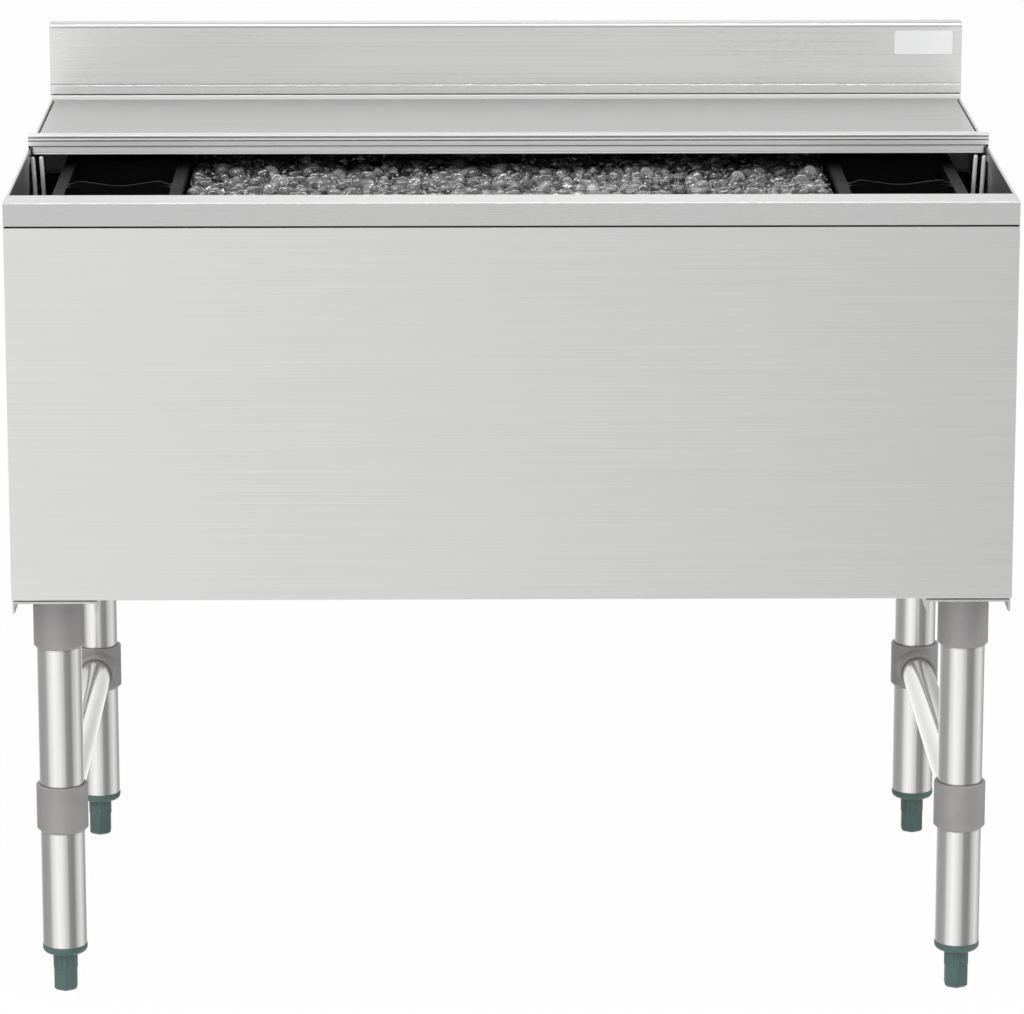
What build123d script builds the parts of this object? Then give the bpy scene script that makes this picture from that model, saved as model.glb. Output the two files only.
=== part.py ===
from build123d import *
import os
from math import atan2, cos, degrees, pi, sin

# Underbar ice bin: insulated stainless body on two H-frame leg sets, with a sliding lid,
# a fixed rear deck, a backsplash and two moulded bottle holders hung in the ice well.
# Millimetres. +Z is up, +X is to the right seen from the front, the front faces -Y.
# The origin is on the floor, in the middle of the plan.

inch = 25.4

# Overall size
width = 36 * inch
depth = 24 * inch
work_height = 30 * inch
splash_rise = 3 * inch
splash_depth = 1 * inch

# Sheet metal
sheet = 1.2
leg_sheet = 2.0
bend = 1.6
slip = 0.3
run_clearance = 0.05

# Front rim, the ledge and apron in one sheet
ledge_depth = 43.0
apron_height = 21.0
seam = 1.7
tongue_gap = 3.0

# Body shell
body_floor = 390.0
panel_bottom = 393.8
hem_height = 12.0
tongue_height = 11.0
panel_return = 14.0
panel_foot = 16.0
return_drop = 22.0
pan_flange = 18.0

# Ice well
well_length = 414.0
well_side_wall = 24.0
well_corner = 19.0
well_cove = 15.0
well_floor_gap = 34.0
shoulder_drop = 50.0
foam_behind_well = 40.0
foam_slip = 1.0

# Drain in the floor of the well
drain_back_offset = 110.0
drain_tail_radius = 16.7
drain_tail_length = 32.0
drain_shank_radius = 17.6
drain_bore_radius = 13.4
drain_flange_radius = 32.0
drain_flange_height = 3.0
gasket_height = 1.6
locknut_flats = 46.0
locknut_height = 8.0
locknut_rise = 2.0
strainer_radius = 24.0
strainer_height = 1.5
strainer_hole_radius = 2.0
strainer_rings = 3
strainer_first_ring_count = 6
strainer_screw_radius = 3.0
strainer_seat = 1.2

# Rear deck
deck_setback = 320.0
deck_drop = 8.0
deck_rear_lip = 14.0
rear_rise = 5.2

# Backsplash
splash_slot = 0.8
splash_roll_radius = 1.7
splash_roll_proud = 0.9
splash_foot = 15.0
strip_height = 9.4
strip_sheet = 1.0
cap_flange = 10.0

# Lid
lid_overhang = 25.0
lid_side_gap = 2.2
lid_rear_gap = 0.8
lid_flange = 6.0
lid_bead_radius = 0.9
lid_stop_gap = 0.6

# Lid handle
handle_depth = 12.0
handle_height = 13.0
handle_edge_radius = 1.6
handle_band_low = 2.4
handle_band_height = 4.2
handle_band_proud = 0.9
handle_groove_height = 0.9
handle_groove_depth = 1.0
handle_bead_radius = 1.25
handle_bead_level = 8.3
handle_nose_radius = 1.1
handle_nose_level = 11.6
handle_end_lift = 2.0
glide_plug_height = 5.0
glide_plug_length = 9.0

# Lid glides on the deck
glide_width = 24.0
glide_length = 9.0
glide_side_inset = 28.0
glide_rear_inset = 3.0

# Bottle holders
holder_side_gap = 8.0
holder_width = 120.0
holder_rim = 11.5
holder_rim_height = 6.0
holder_rim_corner = 9.0
holder_rim_drop = 16.7
holder_wall = 3.0
holder_end_gap = 3.0
holder_pockets = 3
holder_clear_height = 106.3
pocket_corner = 14.0
pocket_draft_angle = 1.2
pocket_drain_radius = 5.0
comb_low = 0.9
comb_high = 4.4
comb_root = 9.0
comb_valley_radius = 60.0
comb_shoulder_radius = 9.0
comb_shoulder_share = 0.13
holder_foot_sheet = 2.5
holder_foot_gap = 4.0
holder_foot_round = 6.0
holder_foot_end_share = 0.06
hook_slot_clearance = 1.0

# Rest angles for the ends of the bottle holders
rest_leg = 14.0
rest_shelf = 8.4
rest_width_share = 0.7

# Wire hooks of the bottle holders
hook_wire = 4.0
hook_wall_gap = 0.25
hook_spread = 8.0
hook_lean = 2.0
hook_top_drop = 7.0
hook_ahead_of_lid = 5.0

# Leg frames
leg_side_inset = 37.7
leg_front_inset = 66.0
leg_back_inset = 42.6
leg_diameter = 41.3
leg_wall = 1.5
leg_bottom = 45.0
channel_width = 77.0
channel_drop = 11.0
channel_setback = 11.0
socket_diameter = 47.0
socket_bottom = 334.5
socket_roof = 4.0
casting_clearance = 0.1
casting_chamfer = 3.0
casting_edge = 1.2
tee_diameter = 48.0
tee_bottom = 156.5
tee_height = 45.0
tee_branch_diameter = 39.0
tee_branch_reach = 40.0
crossbar_diameter = 32.0
crossbar_wall = 1.2
crossbar_seat = 16.0
set_screw_radius = 4.0
set_screw_hex_radius = 2.3
set_screw_hex_depth = 3.0

# Channel bolts
bolt_radius = 3.0
bolt_head_flats = 10.0
bolt_head_height = 4.0
bolt_tail = 4.0
bolt_nut_height = 5.0
bolts_per_channel = 4
bolt_inner_offset = 26.0
bolt_span_share = 0.24

# Levelling feet
insert_flange_diameter = 42.0
insert_flange_height = 8.0
insert_flange_round = 5.0
insert_plug_length = 30.0
insert_plug_clearance = 0.15
insert_plug_chamfer = 1.5
stem_diameter = 10.0
stem_foot_depth = 22.0
stem_reach = 34.0
stem_clearance = 0.1
stem_chamfer = 1.0
foot_neck_diameter = 22.8
foot_neck_height = 15.0
foot_top_gap = 0.3
foot_hex_flats = 21.0
foot_hex_chamfer = 2.2
foot_corner_angle = 30
flute_count = 12
flute_radius = 1.4
flute_depth = 0.6
flute_end = 1.6

overrun = 5.0

# Places that follow from the sizes above
height = work_height + splash_rise
front_y = -depth / 2
pan_front_y = front_y + panel_foot
back_y = depth / 2
side_x = width / 2
shell_x = side_x - sheet
hem_x = side_x - 2 * sheet
rim_back_y = front_y + ledge_depth
apron_bottom = work_height - apron_height
panel_top = apron_bottom - seam
well_front_y = rim_back_y
well_back_y = well_front_y + well_length
well_x = shell_x - well_side_wall
well_floor = body_floor + well_floor_gap
shoulder_top = work_height - shoulder_drop
back_wall_top = work_height - hem_height - slip
deck_top = work_height - deck_drop
deck_front_y = front_y + deck_setback
splash_y = back_y - splash_depth
rear_top = work_height + rear_rise
splash_low = rear_top + splash_slot
lid_face_y = deck_front_y - lid_overhang
lid_back_y = splash_y - lid_rear_gap
lid_x = hem_x - lid_side_gap
lid_bottom = work_height - lid_flange
lid_travel = lid_face_y - lid_bead_radius - rim_back_y - lid_stop_gap
rim_level = work_height - holder_rim_drop
pocket_depth = rim_level - holder_wall - holder_clear_height - well_floor
holder_front_y = well_front_y + holder_end_gap
holder_back_y = well_back_y - holder_end_gap
holder_outer_x = well_x - holder_side_gap
holder_inner_x = holder_outer_x - holder_width
holder_centre = holder_outer_x - holder_width / 2
pocket_width = holder_width - 2 * holder_rim
pocket_pitch = (holder_back_y - holder_front_y - 2 * holder_rim) / holder_pockets
hook_y = lid_face_y - hook_ahead_of_lid
hook_outer_x = hem_x - hook_wall_gap - hook_wire / 2
hook_top = work_height - hook_top_drop
drain_y = well_back_y - drain_back_offset
leg_x = side_x - leg_side_inset
leg_front_y = front_y + leg_front_inset
leg_back_y = back_y - leg_back_inset
leg_radius = leg_diameter / 2
casting_bore = leg_radius + casting_clearance
web_bottom = body_floor - leg_sheet
socket_top = web_bottom
leg_top = socket_top - socket_roof
tee_centre = tee_bottom + tee_height / 2
bar_radius = crossbar_diameter / 2
insert_bottom = leg_bottom - insert_flange_height
foot_top = insert_bottom - foot_top_gap
hex_top = foot_top - foot_neck_height
stem_bottom = foot_top - stem_foot_depth
stem_top = insert_bottom + stem_reach


def block(x0, x1, y0, y1, z0, z1):
    """Box between two corners."""
    corner = (Align.MIN, Align.MIN, Align.MIN)
    return Pos(x0, y0, z0) * Box(x1 - x0, y1 - y0, z1 - z0, align=corner)


def post(x, y, z0, z1, radius):
    """Upright cylinder between two levels."""
    base = (Align.CENTER, Align.CENTER, Align.MIN)
    return Pos(x, y, z0) * Cylinder(radius, z1 - z0, align=base)


def bar_x(x0, x1, y, z, radius):
    """Round bar along X."""
    base = (Align.CENTER, Align.CENTER, Align.MIN)
    return Pos(x0, y, z) * Rot(0, 90, 0) * Cylinder(radius, x1 - x0, align=base)


def bar_y(x, y0, y1, z, radius):
    """Round bar along Y."""
    base = (Align.CENTER, Align.CENTER, Align.MIN)
    return Pos(x, y0, z) * Rot(-90, 0, 0) * Cylinder(radius, y1 - y0, align=base)


def hex_post(x, y, z0, z1, flats, turn=0):
    """Upright hexagonal prism, given across its flats."""
    outline = RegularPolygon(flats / 2, 6, major_radius=False)
    return Pos(x, y, z0) * Rot(0, 0, turn) * extrude(outline, z1 - z0)


def rounded_block(x0, x1, y0, y1, z0, z1, corner):
    """Box with rounded upright corners."""
    outline = RectangleRounded(x1 - x0, y1 - y0, corner)
    return Pos((x0 + x1) / 2, (y0 + y1) / 2, z0) * extrude(outline, z1 - z0)


def mirrored(shape):
    """The same shape on the other side of the body."""
    return mirror(shape, about=Plane.YZ)


def both_sides(shape):
    """A shape and its mirror image, as two solids of one node."""
    return Compound(children=[shape, mirrored(shape)])


# Body shell

def front_panel():
    """Face sheet: foot flange, side returns, and a joggled tongue that stands behind the apron."""
    behind = front_y + sheet
    face = block(-side_x, side_x, front_y, behind, panel_bottom, panel_top)
    foot = block(-shell_x, shell_x, behind, pan_front_y + sheet, panel_bottom, panel_bottom + sheet)
    tongue_y = behind + tongue_gap
    tongue_top = panel_top + tongue_height
    tongue = block(-hem_x, hem_x, tongue_y, tongue_y + sheet, panel_top - sheet, tongue_top)
    step = block(-hem_x, hem_x, behind, tongue_y, panel_top - sheet, panel_top)
    low = panel_bottom + return_drop
    high = panel_top - hem_height
    flap = block(hem_x, shell_x, behind, behind + panel_return, low, high)
    panel = face + foot + tongue + step + flap + mirrored(flap)
    lower_edge = panel.edges().filter_by(Axis.X).sort_by_distance((0, front_y, panel_bottom))[0]
    return fillet(lower_edge, bend)


def front_rim():
    """Ledge and apron: a folded cap, open below, with closed ends."""
    cap = block(-side_x, side_x, front_y, rim_back_y, apron_bottom, work_height)
    long_edges = cap.edges().filter_by(Axis.X).group_by(Axis.Z)[-1]
    cap = fillet(long_edges, bend)
    inner_low = apron_bottom - overrun
    inner_high = work_height - sheet
    inner = block(-shell_x, shell_x, front_y + sheet, rim_back_y - sheet, inner_low, inner_high)
    inner_edges = inner.edges().filter_by(Axis.X).group_by(Axis.Z)[-1]
    inner = fillet(inner_edges, bend - sheet)
    return cap - inner


def side_panel():
    """Right side: sheet with a hemmed top and notches for the front rim and the panel's foot."""
    y0 = front_y + sheet
    y1 = back_y - sheet
    skin = block(shell_x, side_x, y0, y1, body_floor, work_height)
    hem = block(hem_x, side_x, rim_back_y, y1, work_height - hem_height, work_height)
    top_edges = hem.edges().filter_by(Axis.Y).group_by(Axis.Z)[-1]
    hem = fillet(top_edges, sheet - run_clearance)
    notch = block(shell_x - overrun, side_x + overrun, y0 - overrun, rim_back_y,
                  apron_bottom, height)
    top_strip = block(shell_x - overrun, side_x + overrun, rim_back_y, y1,
                      work_height - sheet, height)
    toe = block(shell_x - overrun, side_x + overrun, y0 - overrun, pan_front_y,
                body_floor - overrun, panel_bottom)
    return skin - notch - top_strip - toe + hem


def back_panel():
    """Flat back with a hem along its bottom edge."""
    skin = block(-side_x, side_x, back_y - sheet, back_y, body_floor, work_height)
    inside = back_y - sheet
    hem_top = body_floor + sheet + pan_flange + hem_height
    hem = block(-hem_x, hem_x, inside - sheet, inside, hem_top - hem_height, hem_top)
    return skin + hem


def bottom_pan():
    """Bottom sheet with upturned flanges, holed for the drain and the bolts of the legs."""
    y0 = pan_front_y
    y1 = back_y - sheet
    top = body_floor + sheet + pan_flange
    pan = block(-shell_x, shell_x, y0, y1, body_floor, top)
    pan = pan - block(-hem_x, hem_x, y0 + sheet, y1 - sheet, body_floor + sheet, top + overrun)
    pan = pan - block(-side_x, side_x, y0 - overrun, y0 + sheet, panel_bottom, top + overrun)
    pan = pan - post(0, drain_y, body_floor - overrun, top, drain_shank_radius + slip)
    for x, y in bolt_places():
        pan = pan - post(x, y, body_floor - overrun, body_floor + overrun, bolt_radius + run_clearance)
    return pan


# Ice well

def tub_block(grow):
    """Block with the shape of the inside of the well, grown outward by a sheet or a gap."""
    low = well_floor - grow
    tub = rounded_block(-well_x - grow, well_x + grow, well_front_y - grow, well_back_y + grow,
                        low, shoulder_top, well_corner + grow)
    floor_edges = tub.faces().sort_by(Axis.Z)[0].edges()
    return fillet(floor_edges, well_cove + grow)


def liner():
    """Coved well, its two side shoulders, and the walls that rise from them to rim and deck."""
    shoulder_low = shoulder_top - sheet
    y0 = well_front_y - sheet
    y1 = well_back_y + sheet
    shoulders = block(-shell_x, shell_x, y0, y1, shoulder_low, shoulder_top)
    front_wall = block(-shell_x, shell_x, y0, well_front_y, shoulder_low, apron_bottom)
    back_wall = block(-shell_x, shell_x, well_back_y, y1, shoulder_low, back_wall_top)
    shape = tub_block(sheet) + shoulders + front_wall + back_wall
    shape = shape - tub_block(0)
    return shape - post(0, drain_y, well_floor - overrun, well_floor + overrun, drain_shank_radius + slip)


def insulation():
    """Foamed filling between the well and the shell."""
    x = hem_x - foam_slip
    y0 = front_y + 2 * sheet + tongue_gap + foam_slip
    y1 = well_back_y + foam_behind_well
    low = body_floor + sheet + bolt_tail + bolt_nut_height + foam_slip
    main = block(-x, x, y0, y1, low, shoulder_top - sheet - foam_slip)
    lintel = block(-x, x, y0, well_front_y - sheet - foam_slip, low, apron_bottom - foam_slip)
    back_rise = block(-x, x, well_back_y + sheet + foam_slip, y1, low, back_wall_top - foam_slip)
    foam = main + lintel + back_rise - tub_block(sheet + slip)
    return foam - post(0, drain_y, low - overrun, well_floor + overrun, drain_shank_radius + slip)


# Drain

def drain_body():
    """Flanged outlet: a flange on the floor of the well, a shank, and a tail below the body."""
    flange_low = well_floor + gasket_height
    top = flange_low + drain_flange_height
    flange = post(0, drain_y, flange_low, top, drain_flange_radius)
    flange = chamfer(flange.edges().group_by(Axis.Z)[-1], drain_flange_height / 2)
    shank_low = body_floor - locknut_height - locknut_rise
    tail_low = shank_low - drain_tail_length
    shank = post(0, drain_y, shank_low, flange_low, drain_shank_radius)
    tail = post(0, drain_y, tail_low, shank_low, drain_tail_radius)
    body = flange + shank + tail
    body = body - post(0, drain_y, tail_low - overrun, top, drain_bore_radius)
    return body - post(0, drain_y, top - strainer_seat, top + overrun, strainer_radius + run_clearance)


def drain_gasket():
    """Flat ring under the flange of the drain."""
    ring = post(0, drain_y, well_floor, well_floor + gasket_height, drain_flange_radius)
    return ring - post(0, drain_y, well_floor - overrun, well_floor + overrun, drain_shank_radius + slip)


def drain_strainer():
    """Perforated disc with a raised centre screw."""
    low = well_floor + gasket_height + drain_flange_height - strainer_seat
    disc = post(0, drain_y, low, low + strainer_height, strainer_radius)
    pitch = strainer_radius / (strainer_rings + 1)
    for ring in range(1, strainer_rings + 1):
        count = strainer_first_ring_count * ring
        for step in range(count):
            turn = 2 * pi * step / count
            x = ring * pitch * cos(turn)
            y = drain_y + ring * pitch * sin(turn)
            disc = disc - post(x, y, low - overrun, low + overrun, strainer_hole_radius)
    head = post(0, drain_y, low + strainer_height, low + 2 * strainer_height, strainer_screw_radius)
    return disc + head


def drain_locknut():
    """Hexagonal nut that draws the drain against the body from below."""
    low = body_floor - locknut_height
    nut = hex_post(0, drain_y, low, body_floor, locknut_flats)
    return nut - post(0, drain_y, low - overrun, body_floor + overrun, drain_shank_radius + run_clearance)


# Rear deck and backsplash

def rear_deck():
    """Fixed deck under the parked lid: hemmed front and sides, riser and raised rear strip."""
    x = hem_x - slip
    plate = block(-x, x, deck_front_y, splash_y + sheet, deck_top - sheet, deck_top)
    hem = block(-x, x, deck_front_y, deck_front_y + hem_height, deck_top - 2 * sheet, deck_top)
    nose = hem.edges().filter_by(Axis.X).group_by(Axis.Y)[0]
    hem = fillet(nose, sheet - run_clearance)
    riser = block(-x, x, splash_y, splash_y + sheet, deck_top - sheet, work_height)
    strip = block(-side_x, side_x, splash_y, back_y, work_height, rear_top)
    strip_edge = strip.edges().filter_by(Axis.X).sort_by_distance((0, splash_y, rear_top))[0]
    strip = fillet(strip_edge, bend)
    lip_y = back_y - sheet
    strip = strip - block(-shell_x, shell_x, splash_y + sheet, lip_y,
                          work_height - overrun, rear_top - sheet)
    side_hem = block(x - hem_height, x, deck_front_y + sheet, splash_y + sheet,
                     deck_top - 2 * sheet, deck_top)
    lip = block(-x, x, lip_y - sheet, lip_y, work_height - deck_rear_lip, rear_top - sheet)
    nose_cut = block(-side_x, side_x, deck_front_y - overrun, deck_front_y + sheet,
                     deck_top - sheet, deck_top)
    return plate - nose_cut + hem + riser + strip + side_hem + mirrored(side_hem) + lip


def backsplash():
    """Box-section splash: face, rolled top edge, top return, back leg and foot."""
    face = block(-side_x, side_x, splash_y, splash_y + sheet, splash_low, height)
    top = block(-side_x, side_x, splash_y, back_y, height - sheet, height)
    back = block(-side_x, side_x, back_y - sheet, back_y, rear_top, height)
    back_edge = (top + back).edges().filter_by(Axis.X).sort_by_distance((0, back_y, height))[0]
    shell = fillet(back_edge, sheet / 2)
    foot = block(-shell_x, shell_x, back_y - splash_foot, back_y, rear_top, rear_top + sheet)
    roll_y = splash_y - splash_roll_proud + splash_roll_radius
    roll = bar_x(-side_x, side_x, roll_y, height - splash_roll_radius, splash_roll_radius)
    hem = block(-shell_x, shell_x, splash_y + sheet, splash_y + 2 * sheet,
                splash_low, splash_low + hem_height)
    corner_low = height - splash_roll_radius
    corner = block(-side_x, side_x, splash_y - overrun, roll_y, corner_low, height + overrun)
    return (face + shell) - corner + roll + foot + hem


def splash_strip():
    """Flat strip that finishes the foot of the splash, with a chamfered top edge."""
    top = splash_low + strip_height
    strip = block(-side_x, side_x, splash_y - strip_sheet, splash_y, splash_low, top)
    corner = (0, splash_y - strip_sheet, top)
    edge = strip.edges().filter_by(Axis.X).sort_by_distance(corner)[0]
    return chamfer(edge, strip_sheet / 2)


def splash_end_cap():
    """Closing plate inside the right end of the splash, with a flange behind the face."""
    y0 = splash_y + 2 * sheet + slip
    y1 = back_y - sheet
    low = rear_top + sheet
    plate = block(shell_x, side_x, y0, y1, low, height - sheet)
    flange = block(side_x - cap_flange, side_x, y0, y0 + sheet, low + hem_height, height - sheet - bend)
    foot = block(side_x - cap_flange, side_x, y0, y1 - splash_foot, low, low + sheet)
    seat = block(shell_x, side_x, y0, y1 + sheet - splash_foot, rear_top, low)
    return plate + flange + foot + seat


# Lid

def lid_pan():
    """Lid sheet with turned-down edges and a beaded lower edge on its front face."""
    pan = block(-lid_x, lid_x, lid_face_y, lid_back_y, lid_bottom, work_height)
    upright = pan.edges().filter_by(Axis.Z)
    pan = fillet(upright, bend)
    x = lid_x - sheet
    hollow = block(-x, x, lid_face_y + sheet, lid_back_y - sheet,
                   lid_bottom - overrun, work_height - sheet)
    bead_x = lid_x - bend
    bead = bar_x(-bead_x, bead_x, lid_face_y, lid_bottom + lid_bead_radius, lid_bead_radius)
    return pan - hollow + bead


def lid_handle():
    """Raised pull across the whole width: banded face with groove, bead and nose, open below."""
    face = lid_face_y
    rear = lid_face_y + handle_depth
    top = work_height + handle_height
    body = block(-side_x, side_x, face, rear, work_height, top)
    rear_edge = body.edges().filter_by(Axis.X).sort_by_distance((0, rear, top))[0]
    body = fillet(rear_edge, handle_edge_radius)
    band_low = work_height + handle_band_low
    band = block(-side_x, side_x, face - handle_band_proud, face, band_low, band_low + handle_band_height)
    bead = bar_x(-side_x, side_x, face, work_height + handle_bead_level, handle_bead_radius)
    nose = bar_x(-side_x, side_x, face, work_height + handle_nose_level, handle_nose_radius)
    groove = block(-side_x, side_x, face, face + handle_groove_depth,
                   band_low - handle_groove_height, band_low)
    body = body - groove + band + bead + nose
    hollow = block(-shell_x, shell_x, face + 2 * sheet, rear - sheet,
                   work_height - overrun, top - sheet)
    end_low = work_height - overrun
    end = block(hem_x - lid_side_gap, side_x + overrun, face - overrun, rear + overrun, end_low,
                work_height + handle_end_lift)
    return body - hollow - end - mirrored(end)


def handle_glide():
    """Slider under the right end of the handle, plugged into its hollow."""
    y0 = lid_face_y + 2 * sheet + slip / 2
    y1 = lid_face_y + handle_depth - sheet - slip / 2
    shoe_top = work_height + handle_end_lift
    shoe = block(hem_x, side_x - slip, lid_face_y + slip, lid_face_y + handle_depth - slip,
                 work_height + slip, shoe_top)
    plug_x = shell_x - slip / 2
    plug_low = work_height + slip
    plug = block(plug_x - glide_plug_length, plug_x, y0, y1, plug_low, shoe_top + glide_plug_height)
    relief = block(plug_x - glide_plug_length, hem_x, y0, y1, plug_low - overrun, work_height + sheet)
    return shoe + plug - relief


def lid_glide():
    """Block under the right rear corner of the lid that slides on the deck."""
    x1 = lid_x - glide_side_inset
    y1 = lid_back_y - sheet - glide_rear_inset
    low = deck_top + slip
    pad = rounded_block(x1 - glide_width, x1, y1 - glide_length, y1, low, work_height - sheet, bend)
    foot_edges = pad.edges().group_by(Axis.Z)[0]
    return chamfer(foot_edges, bend / 2)


# Bottle holders

def pocket_centre(index):
    """Distance along the holder of the middle of a pocket."""
    return holder_front_y + holder_rim + pocket_pitch * (index + 0.5)


def comb(y):
    """Wavy top of the partition at y: two round shoulders with a shallow valley between them."""
    half = pocket_width / 2 + holder_wall / 2
    shoulder_x = half - comb_shoulder_share * pocket_width
    root = rim_level - comb_root
    shoulder_z = rim_level + comb_high
    points = [(-half, root), (-half, rim_level), (-shoulder_x, shoulder_z), (0, rim_level - comb_low),
              (shoulder_x, shoulder_z), (half, rim_level), (half, root)]
    outline = make_face(Polyline(*points, close=True))
    for x, z, radius in ((-shoulder_x, shoulder_z, comb_shoulder_radius),
                         (shoulder_x, shoulder_z, comb_shoulder_radius),
                         (0, rim_level - comb_low, comb_valley_radius)):
        corner = outline.vertices().sort_by_distance((x, z, 0))[0]
        outline = fillet(corner, radius)
    solid = extrude(outline, holder_wall)
    return Pos(holder_centre, y + holder_wall / 2, 0) * Rot(90, 0, 0) * solid


def bottle_holder():
    """Right holder: moulded tray of drafted pockets, with a rim, wavy partitions, skirt and foot."""
    middle_y = (holder_front_y + holder_back_y) / 2
    rim_low = rim_level - holder_rim_height
    tray = rounded_block(holder_inner_x, holder_outer_x, holder_front_y, holder_back_y,
                         rim_low, rim_level, holder_rim_corner)
    tray_top = tray.edges().group_by(Axis.Z)[-1]
    tray = fillet(tray_top, holder_wall / 2)
    body_width = pocket_width + 2 * holder_wall
    body_length = holder_back_y - holder_front_y - 2 * holder_rim + 2 * holder_wall
    body_outline = RectangleRounded(body_width, body_length, pocket_corner + holder_wall)
    body_depth = pocket_depth + holder_wall - holder_rim_height / 2
    body_top = rim_low + holder_rim_height / 2
    sunk = extrude(body_outline, -body_depth, taper=pocket_draft_angle)
    holder = tray + Pos(holder_centre, middle_y, body_top) * sunk
    pocket_outline = RectangleRounded(pocket_width, pocket_pitch - holder_wall, pocket_corner)
    for index in range(holder_pockets):
        y = pocket_centre(index)
        pocket = extrude(pocket_outline, -pocket_depth, taper=pocket_draft_angle)
        holder = holder - Pos(holder_centre, y, rim_level) * pocket
        floor = rim_level - pocket_depth
        holder = holder - post(holder_centre, y, floor - overrun, floor + overrun, pocket_drain_radius)
    for index in range(1, holder_pockets):
        holder = holder + comb(holder_front_y + holder_rim + pocket_pitch * index)
    return holder + holder_foot()


def holder_foot():
    """Outer skirt of the right holder and the foot it stands on, notched round the wire hook."""
    inset = holder_foot_end_share * (holder_back_y - holder_front_y)
    y0 = holder_front_y + inset
    y1 = holder_back_y - inset
    low = shoulder_top + slip
    top = low + holder_foot_sheet
    skirt_x = holder_outer_x - holder_foot_sheet
    foot_x = hem_x - holder_foot_gap
    skirt = block(skirt_x, holder_outer_x, y0, y1, low, rim_level - holder_rim_height / 2)
    foot = block(skirt_x, foot_x, y0, y1, low, top)
    outer_corners = foot.edges().filter_by(Axis.Z).group_by(Axis.X)[-1]
    foot = fillet(outer_corners, holder_foot_round)
    slot_half = hook_wire / 2 + hook_slot_clearance
    slot_x = hook_outer_x - hook_spread - hook_lean - slot_half
    slot = block(slot_x, foot_x + overrun, hook_y - slot_half, hook_y + slot_half,
                 low - overrun, top + overrun)
    return skirt + foot - slot


def holder_hook():
    """Right wire hook: two leaning legs joined by a half turn that stands on the shoulder."""
    bow = hook_spread / 2
    tip = hook_top - hook_wire / 2
    rise = tip - shoulder_top - slip - hook_wire / 2 - bow
    outer_leg = Line((bow, 0, rise), (bow, 0, 0))
    turn = ThreePointArc((bow, 0, 0), (0, 0, -bow), (-bow, 0, 0))
    inner_leg = Line((-bow, 0, 0), (-bow, 0, rise))
    route = Wire([outer_leg, turn, inner_leg])
    start = Plane(origin=(bow, 0, rise), z_dir=(0, 0, -1))
    wire = sweep(start * Circle(hook_wire / 2), path=route)
    for x in (bow, -bow):
        wire = wire + Pos(x, 0, rise) * Sphere(hook_wire / 2)
    lean = atan2(hook_lean, rise)
    place = Pos(hook_outer_x - bow - hook_lean, hook_y, tip - rise) * Rot(0, degrees(lean), 0)
    return place * wire


def holder_rests():
    """Rest angles on the front and back walls, under the ends of the right holder."""
    half = holder_width * rest_width_share / 2
    x0 = holder_centre - half
    x1 = holder_centre + half
    top = rim_level - holder_rim_height - slip
    low = top - rest_leg
    y = well_front_y
    front = block(x0, x1, y, y + rest_shelf, top - sheet, top) + block(x0, x1, y, y + sheet, low, top)
    y = well_back_y
    back = block(x0, x1, y - rest_shelf, y, top - sheet, top) + block(x0, x1, y - sheet, y, low, top)
    return [front, back]


# Leg frames

def bolt_places():
    """Places of the bolts that hold both leg channels to the body."""
    span = depth - 2 * channel_setback
    places = []
    for side in (1, -1):
        for index in range(bolts_per_channel):
            row = index - (bolts_per_channel - 1) / 2
            offset = bolt_inner_offset * (1 if index % 2 else -1)
            places.append((side * (leg_x + offset), row * span * bolt_span_share))
    return places


def leg_channel():
    """Right channel under the body: flat web with two flanges turned down."""
    y0 = front_y + channel_setback
    y1 = back_y - channel_setback
    low = web_bottom - channel_drop + leg_sheet
    x0 = side_x - channel_width
    channel = block(x0, side_x, y0, y1, low, body_floor)
    channel = channel - block(x0 + leg_sheet, side_x - leg_sheet, y0 - overrun, y1 + overrun,
                              low - overrun, web_bottom)
    for x, y in bolt_places():
        if x > 0:
            channel = channel - post(x, y, low, body_floor + overrun, bolt_radius + run_clearance)
    return channel


def channel_bolts():
    """Hexagon bolts through web and pan, with their nuts inside the body."""
    bolts = []
    for x, y in bolt_places():
        head = hex_post(x, y, web_bottom - bolt_head_height, web_bottom, bolt_head_flats)
        shank = post(x, y, web_bottom - bolt_head_height, body_floor + sheet + bolt_tail, bolt_radius)
        nut_low = body_floor + sheet
        nut = hex_post(x, y, nut_low, nut_low + bolt_nut_height, bolt_head_flats)
        bolts.append(head + shank + nut)
    return Compound(children=bolts)


def leg_socket(y, screw_side):
    """Right socket: cast cup welded under the channel, chamfered at its mouth."""
    outer = post(leg_x, y, socket_bottom, socket_top, socket_diameter / 2)
    outer = chamfer(outer.edges().group_by(Axis.Z)[0], casting_chamfer - casting_edge)
    bored = outer - post(leg_x, y, socket_bottom - overrun, leg_top + slip, casting_bore)
    screw_z = (socket_bottom + socket_top) / 2
    return bored - set_screw_bore(leg_x, y, screw_z, screw_side)


def set_screw_bore(x, y, z, side):
    """Threaded hole through a casting's wall, on the side given by the sign."""
    near = y + side * leg_radius
    far = y + side * tee_diameter
    return bar_y(x, min(near, far), max(near, far), z, set_screw_radius)


def socket_set_screw(y, side):
    """Set screw of the right socket, bearing on the leg tube."""
    start = y + side * (leg_radius + run_clearance)
    end = y + side * socket_diameter / 2
    z = (socket_bottom + socket_top) / 2
    radius = set_screw_radius - run_clearance
    screw = bar_y(leg_x, min(start, end), max(start, end), z, radius)
    inner = end - side * set_screw_hex_depth / 2
    outer = end + side * set_screw_hex_depth
    recess = bar_y(leg_x, min(inner, outer), max(inner, outer), z, set_screw_hex_radius)
    return screw - recess


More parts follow.
